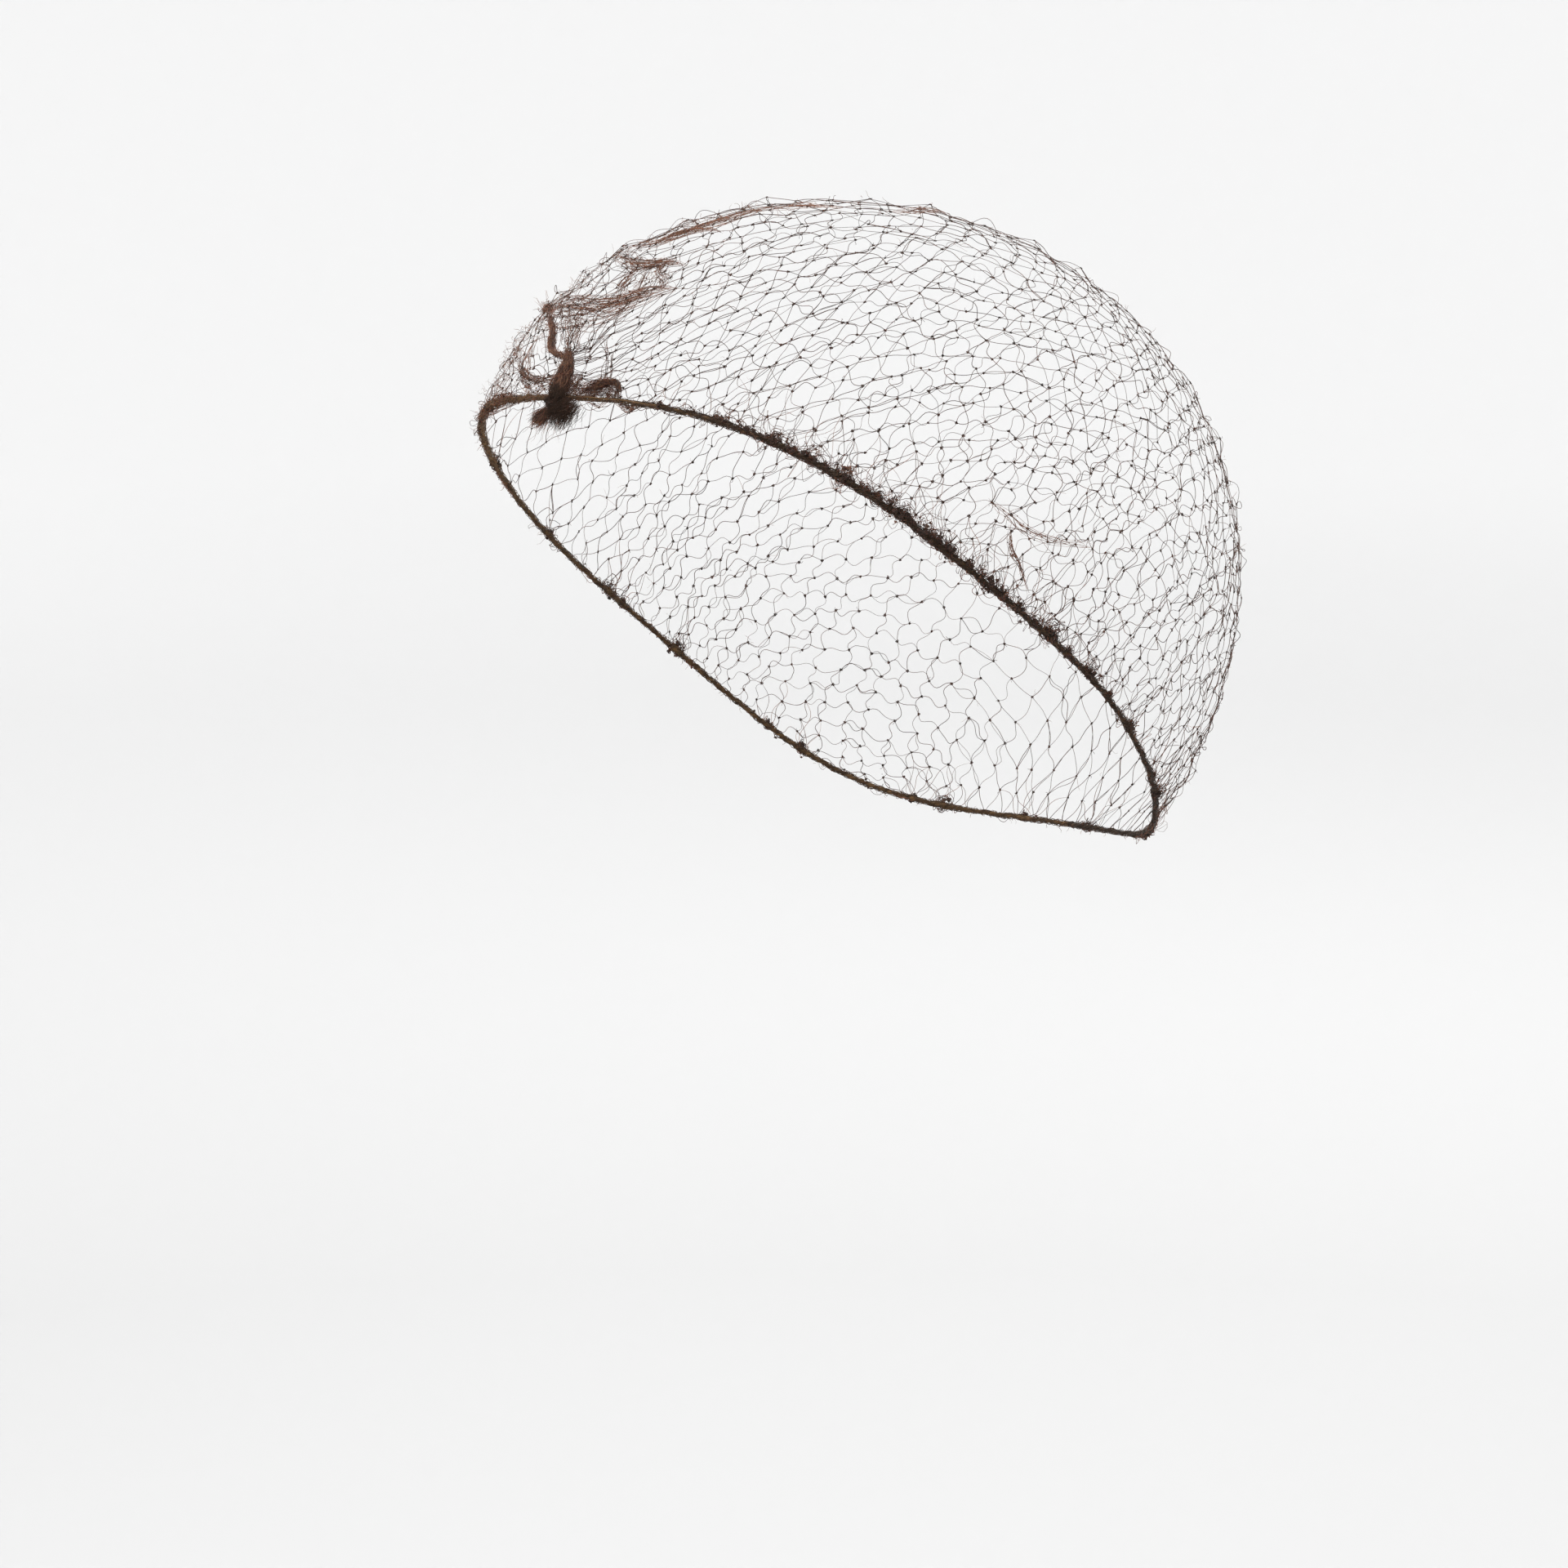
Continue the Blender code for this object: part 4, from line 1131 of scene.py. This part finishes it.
def tuft():
    rng = np.random.default_rng(62)
    brush, skirt_and_shadow, red_skirt, strays = (
        fanned_fibres(fan, rng) for fan in (BRUSH_ENDS, SKIRT_AND_SHADOW, RED_SKIRT, STRAYS)
    )
    skins = [fan_skin(fan, routes, rng) for fan, routes in
             ((BRUSH_ENDS, brush), (STRAYS, strays), (RED_SKIRT, red_skirt))]
    make_piece("tuft_brush", skins, RED_YARN, "front_tuft")
    # dark matted yarn, its lower reach a painted shadow under the knot
    make_piece("tuft_skirt_and_shadow", [fan_skin(SKIRT_AND_SHADOW, skirt_and_shadow, rng)], DARK_YARN, "front_tuft")


knot()
tuft()

# %% [markdown]
# ## The elastic
#
# The cord is a rubber core covered with yarn, seen as three plies twisted together. The last loops
# of the net are threaded on it and wind round it, which roughens it all the way. Threads at both
# slants run round the whole loop at slightly different distances from its middle.

# %% The elastic cord
PLIES = 3
PLY_RADIUS = 0.29 * MM
PLY_OFFSET = 0.29 * MM
PLY_TURNS = 118
STEPS_A_TURN = 8
# the pale strand on the cord beside the knot is a painted highlight
HIGHLIGHT_STRAND_RADIUS = 0.16 * MM
WINDINGS = 12
WINDING_STEPS = 860
WINDING_RADIUS = 0.075 * MM
NEAREST_WINDING = 0.58 * MM
WINDING_SPREAD = 0.42 * MM
FARTHEST_INSIDE = 0.95 * MM


def shagginess(round_deg):
    """The cord is shaggy and more golden on the far side of the knot."""
    return np.exp(-(((round_deg + 30.0) / 21.0) ** 2))


def shaded_side(round_deg):
    """Rises past the knot on the wearer's left and holds to the back, where the cord has painted
    shade.
    """
    return 1 / (1 + np.exp(-(round_deg - 18.0) / 6.0))


def fullness(round_deg):
    """The cord is bare beside the knot, shaggy past it, and thick at each bunch."""
    bare = np.exp(-(((round_deg - 5.0) / 9.0) ** 2))
    full = 0.45 * shagginess(round_deg) + 0.5 * np.minimum(bunching(round_deg), 1.2)
    return 0.8 - 0.35 * bare + full


def cord_tone(round_deg, tone, mottle):
    """A tone, paler where shaggy, darker past the knot as painted shade, with a mottle added."""
    # the drop past the knot is painted shade on the wearer's left
    tone = tone + 0.45 * shagginess(round_deg) - 0.4 * shaded_side(round_deg)
    return np.clip(tone + mottle, 0, 1)


def by_elastic(round_deg, turn, distance):
    """Middle + distance * (off * cos(turn) + above * sin(turn)) round the line of the elastic."""
    middle = edge_place(round_deg)
    ahead = unit(edge_place(round_deg + 0.3) - edge_place(round_deg - 0.3))
    above = unit(np.cross(outward(middle), ahead))
    off = np.cross(ahead, above)
    turn, distance = np.asarray(turn)[..., None], np.asarray(distance)[..., None]
    return middle + distance * (off * np.cos(turn) + above * np.sin(turn))


def plies(rng):
    """Screws about the cord's middle, and one pale strand on it beside the knot, a painted
    highlight.
    """
    steps = PLY_TURNS * STEPS_A_TURN
    round_deg = np.linspace(-180.0, 180.0, steps, endpoint=False)[None]
    twist = np.radians(round_deg) * PLY_TURNS + np.arange(PLIES)[:, None] * 2 * math.pi / PLIES
    lean = np.clip(fullness(round_deg) / 0.8, 0.0, 1.4)
    thick = PLY_RADIUS * lean * (1 + 0.12 * ripple(PLIES, steps, 40, 160, rng))
    tone = cord_tone(round_deg, 0.4, 0.5 * ripple(PLIES, steps, 20, 200, rng))
    # the pale strand beside the knot: a painted highlight
    highlight_rounds = np.linspace(KNOT_ROUND + 1.5, KNOT_ROUND + 19.0, 40)[None]
    highlight_strand = by_elastic(highlight_rounds, 0.15 + 0.2 * np.sin(highlight_rounds), 0.5 * MM)
    return [
        skin(by_elastic(round_deg, twist, PLY_OFFSET), thick, sides=6, closed=True, tone=tone),
        skin(highlight_strand, HIGHLIGHT_STRAND_RADIUS, sides=6, tone=0.85),
    ]


def windings(rng):
    """Uneven screws of both slants. On the side of the egg they lie close to the cord."""
    turns = rng.integers(45, 130, WINDINGS) * rng.choice((-1, 1), WINDINGS)
    round_deg = np.linspace(-180.0, 180.0, WINDING_STEPS, endpoint=False)[None]
    wound = turns[:, None] * np.radians(round_deg)
    wound = wound + 3.0 * ripple(WINDINGS, WINDING_STEPS, 5, 90, rng)
    spread = WINDING_SPREAD * np.abs(ripple(WINDINGS, WINDING_STEPS, 30, 300, rng))
    far = (NEAREST_WINDING + spread) * (0.4 + 0.75 * fullness(round_deg))
    far = np.where(np.cos(wound) < 0, np.minimum(far, FARTHEST_INSIDE), far)
    tone = cord_tone(round_deg, 0.3, 0.3 * ripple(WINDINGS, WINDING_STEPS, 5, 60, rng))
    thick = WINDING_RADIUS * rng.uniform(0.7, 1.4, (WINDINGS, 1))
    return [skin(by_elastic(round_deg, wound, far), thick, closed=True, tone=tone)]


def elastic():
    rng = np.random.default_rng(71)
    make_piece("elastic_plies", plies(rng), GOLD_YARN, "elastic_cord")
    make_piece("elastic_winding", windings(rng), GOLD_YARN, "elastic_cord")


elastic()

# %% [markdown]
# ## Loops and bunches on the elastic
#
# Small loops of slack net stand off the elastic all the way round, and where the net is bunched
# they grow into dark lumps a few millimetres wide with knots caught in them. Each loop leaves the
# cord, swings out as a sine and comes back a little further on. From every bunch a fan of threads
# runs up to the nearest knots of the net. A few slack threads hang below.

# %% Loops on the elastic
LOOP_STEPS = 8
DEGREES_A_MM = 360.0 / (EDGE_LENGTH / MM)
SMALL_LOOPS = 620
PAST_KNOT_SHARE = 0.24
ANYWHERE_UP_TO = 0.64
SMALL_UPWARD, BIG_UPWARD = 0.62, 0.64
# both counts are for a bunch of size 1
LOOPS_A_BUNCH = 54
LUMPS_A_BUNCH = 9
HORNS = 0.2
WIDE_LOOPS = 0.35
TALLEST_LOOP = 5.2
FAN_THREADS = 7
FAN_STEPS = 11
HANGING_STEPS = 18
HANGING = table("first last drop threads", (
    (-30.0, -11.0, 2.8, 9), (-27.0, -16.0, 1.9, 9), (-52.0, -44.0, 2.0, 3), (0.5, 5.5, 2.6, 8),
    (6.5, 11.0, 1.8, 14), (7.5, 10.0, 2.4, 10), (13.0, 17.0, 1.2, 4), (38.0, 40.0, 3.8, 6),
    (56.5, 58.5, 1.8, 5), (63.0, 66.0, 2.4, 6), (77.0, 80.0, 1.8, 4), (101.0, 104.0, 2.2, 4),
    (-76.0, -72.0, 2.2, 4), (-104.0, -101.0, 2.6, 4), (-151.0, -147.0, 2.0, 4),
    (150.0, 155.0, 2.4, 4),
))


def rim_loops(round_deg, turn, height, span, rng):
    """Distance from the cord's middle rises by height * sin(pi s) while the place moves along."""
    count = len(round_deg)
    walk = np.linspace(0.0, 1.0, LOOP_STEPS)
    along = (walk - 0.5) * (span / MM * DEGREES_A_MM)[:, None]
    along = along + 0.3 * DEGREES_A_MM * (height / MM)[:, None] * wander(count, LOOP_STEPS, 3, rng)
    far = 0.5 * MM + height[:, None] * np.sin(math.pi * walk) ** 0.8
    swing = turn[:, None] + 0.25 * wander(count, LOOP_STEPS, 3, rng)
    return by_elastic(round_deg[:, None] + along, np.clip(swing, -1.75, 1.75), far)


def scattered_loops(rng):
    """Small loops everywhere, more of them past the knot and along the wearer's left."""
    count = SMALL_LOOPS
    where = rng.uniform(0, 1, count)
    anywhere = rng.uniform(-180.0, 180.0, count)
    round_deg = np.where(where < PAST_KNOT_SHARE, rng.normal(-22.0, 7.0, count), anywhere)
    round_deg = np.where(where > ANYWHERE_UP_TO, rng.uniform(16.0, 86.0, count), round_deg)
    up = rng.uniform(0, 1, count) < SMALL_UPWARD
    turn = np.where(up, rng.normal(1.35, 0.4, count), rng.normal(-1.2, 0.5, count))
    height = MM * rng.gamma(2.0, 0.36, count) * fullness(round_deg) * (1 + shaded_side(round_deg))
    return rim_loops(round_deg, turn, height, MM * rng.uniform(0.4, 2.6, count), rng)


def each_bunch(number):
    """Round and size of each bunch, repeated number times for each unit of its size."""
    times = np.round(number * BUNCHES[:, 1]).astype(int)
    return np.repeat(BUNCHES[:, 0], times), np.repeat(BUNCHES[:, 1], times), times


def bunched_loops(rng):
    """The same, crowded about the bunches. A few threads in each rise together as a horn."""
    middle, size, times = each_bunch(LOOPS_A_BUNCH)
    count = len(size)
    horn = rng.uniform(0, 1, count) < HORNS
    shift = np.repeat(rng.normal(0.0, 0.9, len(BUNCHES)), times)
    wide = np.where(rng.uniform(0, 1, count) < WIDE_LOOPS, 2.0, 0.8)
    aside = np.where(horn, shift + rng.normal(0.0, 0.14, count), rng.normal(0.0, wide, count))
    up = horn | (rng.uniform(0, 1, count) < BIG_UPWARD)
    turn = np.where(up, rng.normal(1.3, 0.4, count), rng.normal(-1.15, 0.5, count))
    height = np.where(horn, rng.gamma(6.0, 0.5, count), rng.gamma(2.2, 0.52, count))
    height = MM * (height * size * np.where(up, 1.0, 0.6)).clip(0.0, TALLEST_LOOP)
    span = MM * np.where(horn, 0.5, rng.uniform(0.4, 2.6, count))
    return rim_loops(middle + aside * size, turn, height, span, rng)


def lumps(rng):
    """Places of the small hard tangles about the bunches."""
    middle, size, _ = each_bunch(LUMPS_A_BUNCH)
    middle = middle + rng.normal(0.0, 0.8, len(size)) * size
    turn = rng.normal(1.0, 0.9, len(size))
    return by_elastic(middle, turn, MM * (0.7 + rng.gamma(2.0, 0.35, len(size)) * size))


def fans(rng):
    """Slack threads from each bunch to the knots that lie nearest to a spot above it.

    Knots on the first and the last row count as a metre farther away, so none is taken.
    """
    spots = edge_place(BUNCHES[:, 0], 6.0 * MM, 0.5 * MM)
    distance = np.linalg.norm(KNOTS[None] - spots[:, None], axis=2)
    distance = distance + 1.0 * (knot_row % HALF_ROWS == 0)
    nearest = np.argsort(distance, axis=1)[:, :FAN_THREADS]
    roots = np.repeat(BUNCHES[:, 0], FAN_THREADS)
    roots = roots + rng.normal(0.0, 0.8, len(roots))
    first = by_elastic(roots, rng.uniform(0.4, 1.5, len(roots)), 0.9 * MM)
    slack = rng.uniform(0.01, 0.14, len(roots))
    return slack_threads(first, KNOTS[nearest.reshape(-1)], slack, rng, FAN_STEPS)


def hanging_threads(hang, rng):
    """Each thread drops below the elastic by drop * sin(pi s), lying close to the egg."""
    count = hang["threads"]
    walk = np.linspace(0.0, 1.0, HANGING_STEPS)
    first = hang["first"] + rng.normal(0.0, 0.5, (count, 1))
    round_deg = first + (hang["last"] + rng.normal(0.0, 0.5, (count, 1)) - first) * walk
    round_deg = round_deg + 0.18 * wander(count, HANGING_STEPS, 5, rng)
    drop = hang["drop"] * MM * rng.uniform(0.35, 1.0, (count, 1)) * np.sin(math.pi * walk)
    drop = drop + 0.2 * MM * wander(count, HANGING_STEPS, 6, rng)
    return edge_place(round_deg, -np.maximum(drop, 0.0), (1.0 - 0.5 * np.sin(math.pi * walk)) * MM)


def loops_on_elastic():
    rng = np.random.default_rng(81)
    small, big, fan = scattered_loops(rng), bunched_loops(rng), fans(rng)
    hanging = np.concatenate([hanging_threads(hang, rng) for hang in HANGING])
    grains = [picked_places(routes, count, rng)
              for routes, count in ((big, 150), (small, 70), (hanging, 30))]
    tangles = lumps(rng)
    skins = [
        strand_skin(small, rng, 0.2, 0.066 * MM),
        strand_skin(big, rng, 0.1, 0.085 * MM),
        strand_skin(fan, rng, 0.35, 0.065 * MM),
        strand_skin(hanging, rng, 0.4, 0.06 * MM),
        knot_skin(np.concatenate(grains), 0.8 * KNOT_SIZE, rng, tone=0.15),
        knot_skin(tangles, 1.5 * KNOT_SIZE, rng, tone=0.0),
    ]
    return make_piece("rim_loops", skins, RED_YARN, "elastic_cord")


loops_on_elastic()

# %% [markdown]
# ## Frizz
#
# Slack bits of yarn curl up off the net in front, past the bundle, and very fine fibres stand off
# the yarn everywhere. They are what makes the outline soft.

# %% Frizz
CURLS = 500
CURL_SPREAD = 1.7
NET_FIBRES = 700
ELASTIC_FIBRES = 1200
SHAGGY_SHARE = 0.4
ELASTIC_FIBRE_RADIUS = 0.045 * MM
# round, up and the height that curls rise to, in millimetres
FRIZZ_PLACES = np.array((
    (-22.0, 9.4, 2.8), (-24.5, 8.6, 2.6), (-19.5, 9.6, 2.6), (-23.0, 10.8, 3.0),
    (-22.0, 12.6, 3.0), (-24.5, 14.2, 3.2), (-26.5, 16.0, 3.2), (-28.0, 18.5, 2.8),
    (-27.0, 21.0, 2.4), (-30.0, 22.5, 2.2), (-30.0, 16.0, 2.6), (-38.0, 19.0, 2.0),
    (-25.0, 15.0, 3.4), (-27.5, 17.0, 3.0), (-17.0, 9.0, 2.2), (-26.0, 25.0, 1.8),
    (-24.5, 28.5, 1.4), (-20.8, 32.3, 1.2), (-17.0, 36.0, 1.2), (-14.8, 40.0, 1.2),
    (-12.2, 44.0, 1.2), (-9.6, 50.0, 1.2),
))


def curls(rng):
    """Fibres that roll up in wide screws, from chance places near the listed ones."""
    spot = FRIZZ_PLACES[rng.integers(0, len(FRIZZ_PLACES), CURLS)]
    around, up = (spot[:, :2] + rng.normal(0.0, CURL_SPREAD, (CURLS, 2))).T
    starts = place(around, up, MM * spot[:, 2] * rng.uniform(0.05, 1.0, CURLS))
    rise = rng.uniform(-0.1, 0.5, (CURLS, 1))
    ways = unit(outward(starts) * rise + rng.normal(0, 0.5, (CURLS, 3)))
    lengths = MM * rng.uniform(0.5, 2.5, (CURLS, 1))
    return fibres(starts, ways, lengths, 0.5 * MM, (0.2, 1.5), 11, rng)


def net_fibres(rng):
    """Fine fibres that leave the knots of the net, most of them outward."""
    picked = rng.integers(0, len(KNOTS), NET_FIBRES)
    starts = KNOTS[picked] + rng.normal(0.0, 0.4 * MM, (NET_FIBRES, 3))
    ways = unit(outward(starts) * 0.6 + rng.normal(0.0, 0.7, (NET_FIBRES, 3)))
    lengths = MM * rng.gamma(2.0, 0.6, (NET_FIBRES, 1))
    return fibres(starts, ways, lengths, 0.3 * MM, (0.2, 1.2), 6, rng)


def elastic_fibres(rng):
    """Fine fibres that leave the elastic on all sides but the egg's, most on the shaggy stretch."""
    count = ELASTIC_FIBRES
    shaggy = rng.uniform(0, 1, count) < SHAGGY_SHARE
    around = np.where(shaggy, rng.normal(-24.0, 11.0, count), rng.uniform(-180.0, 180.0, count))
    starts = by_elastic(around, rng.uniform(-1.6, 1.6, count), 0.7 * MM)
    ways = unit(starts - edge_place(around) + rng.normal(0.0, 0.7 * MM, (count, 3)))
    lengths = MM * rng.gamma(2.0, 0.45, (count, 1))
    return fibres(starts, ways, lengths, 0.3 * MM, (0.2, 1.2), 5, rng)


def frizz():
    rng = np.random.default_rng(91)
    curled, fine, rim = curls(rng), net_fibres(rng), elastic_fibres(rng)
    skins = [strand_skin(curled, rng, 0.45, 0.038 * MM), strand_skin(fine, rng, 0.5, HAIR_RADIUS)]
    make_piece("stray_frizz", skins, RED_YARN, "net_cap")
    make_piece("elastic_fuzz", [strand_skin(rim, rng, 0.6, ELASTIC_FIBRE_RADIUS)],
               RED_YARN, "elastic_cord")


frizz()

# %% [markdown]
# ## Floor and light
#
# A wide pale bowl serves as floor and backdrop at once: flat below the net, and curved up far
# behind it on every side, so no edge shows from any angle. The net is held up as it is when worn,
# so it hangs above the floor. The light is soft: a white sky, a large lamp high in front, a weaker
# one on the other side, and one behind that lets the yarn glow a little.

# %% Floor and light
FLOOR_HEIGHT = -0.55
FLOOR_REACH = 2.3
WALL_CURVE = 1.4
WALL_TOP = 3.2
BOWL_SIDES = 96
GREY_REACH, WHITE_REACH = 1.1, 2.8
FLOOR_GREY, WALL_GREY = 0.57, 0.92
SKY_STRENGTH = 0.95
LIT_MIDDLE = Vector((0.0, 0.0, -0.09))
# name, round, up, distance, size and power
LAMPS = (
    ("key", 12.0, 48.0, 1.6, 1.1, 22.0),
    ("fill", 95.0, 25.0, 1.8, 1.4, 9.0),
    ("behind", 215.0, 40.0, 1.7, 1.2, 14.0),
)


def bowl():
    """A profile of a flat line, a quarter circle and a straight wall, turned about Z."""
    bend = np.linspace(0.0, math.pi / 2, 17)
    curve = FLOOR_REACH + WALL_CURVE * np.sin(bend)
    out = np.concatenate([[0.05, 0.8, 1.6], curve, [FLOOR_REACH + WALL_CURVE]])
    high = np.concatenate([[0.0] * 3, WALL_CURVE * (1 - np.cos(bend)), [WALL_TOP]]) + FLOOR_HEIGHT
    turn = whole_turn(BOWL_SIDES)[:, None]
    corners = np.stack([out * np.cos(turn), out * np.sin(turn), high + 0 * turn], axis=-1)
    number = np.arange(corners[..., 0].size).reshape(BOWL_SIDES, len(out))
    following = np.roll(number, -1, axis=0)
    quads = np.stack(
        [number[:, :-1], number[:, 1:], following[:, 1:], following[:, :-1]], axis=-1
    )
    mesh = bpy.data.meshes.new("floor")
    faces = quads.reshape(-1, 4).tolist() + [number[:, 0].tolist()]
    mesh.from_pydata(corners.reshape(-1, 3), [], faces)
    mesh.shade_smooth()
    mesh.materials.append(paper())
    floor = bpy.data.objects.new("floor", mesh)
    bpy.context.scene.collection.objects.link(floor)


def paper():
    """A matt grey that turns to white with the distance from the middle."""
    material = bpy.data.materials.new("paper")
    material.use_nodes = True
    shader = material.node_tree.nodes["Principled BSDF"]
    set_inputs(shader, {"Roughness": 0.9, "Specular IOR Level": 0.1})
    where = add_node(material, "TexCoord")
    from_middle = add_node(material, "VectorMath", operation="LENGTH")
    greys = add_node(material, "MapRange", {"From Min": GREY_REACH, "From Max": WHITE_REACH,
                                            "To Min": FLOOR_GREY, "To Max": WALL_GREY})
    connect(
        material,
        (where, "Object", from_middle, 0), (from_middle, "Value", greys, "Value"),
        (greys, "Result", shader, "Base Color"),
    )
    return material


def lamp(name, round_deg, up_deg, distance, size, power):
    """A square lamp, turned to the middle of the net."""
    light = bpy.data.lights.new(name, "AREA")
    light.size = size
    light.energy = power
    holder = bpy.data.objects.new(name, light)
    away = Vector(direction(np.array(round_deg), np.array(up_deg)).tolist())
    holder.location = LIT_MIDDLE + away * distance
    holder.rotation_mode = "QUATERNION"
    holder.rotation_quaternion = away.to_track_quat("Z", "Y")
    holder.visible_camera = False
    bpy.context.scene.collection.objects.link(holder)


bowl()
for row in LAMPS:
    lamp(*row)
world = bpy.data.worlds.new("sky")
bpy.context.scene.world = world
world.use_nodes = True
set_inputs(world.node_tree.nodes["Background"],
           {"Color": (1.0, 1.0, 1.0, 1.0), "Strength": SKY_STRENGTH})
bpy.context.scene.view_settings.view_transform = "Standard"
print("floor and", len(LAMPS), "lamps")
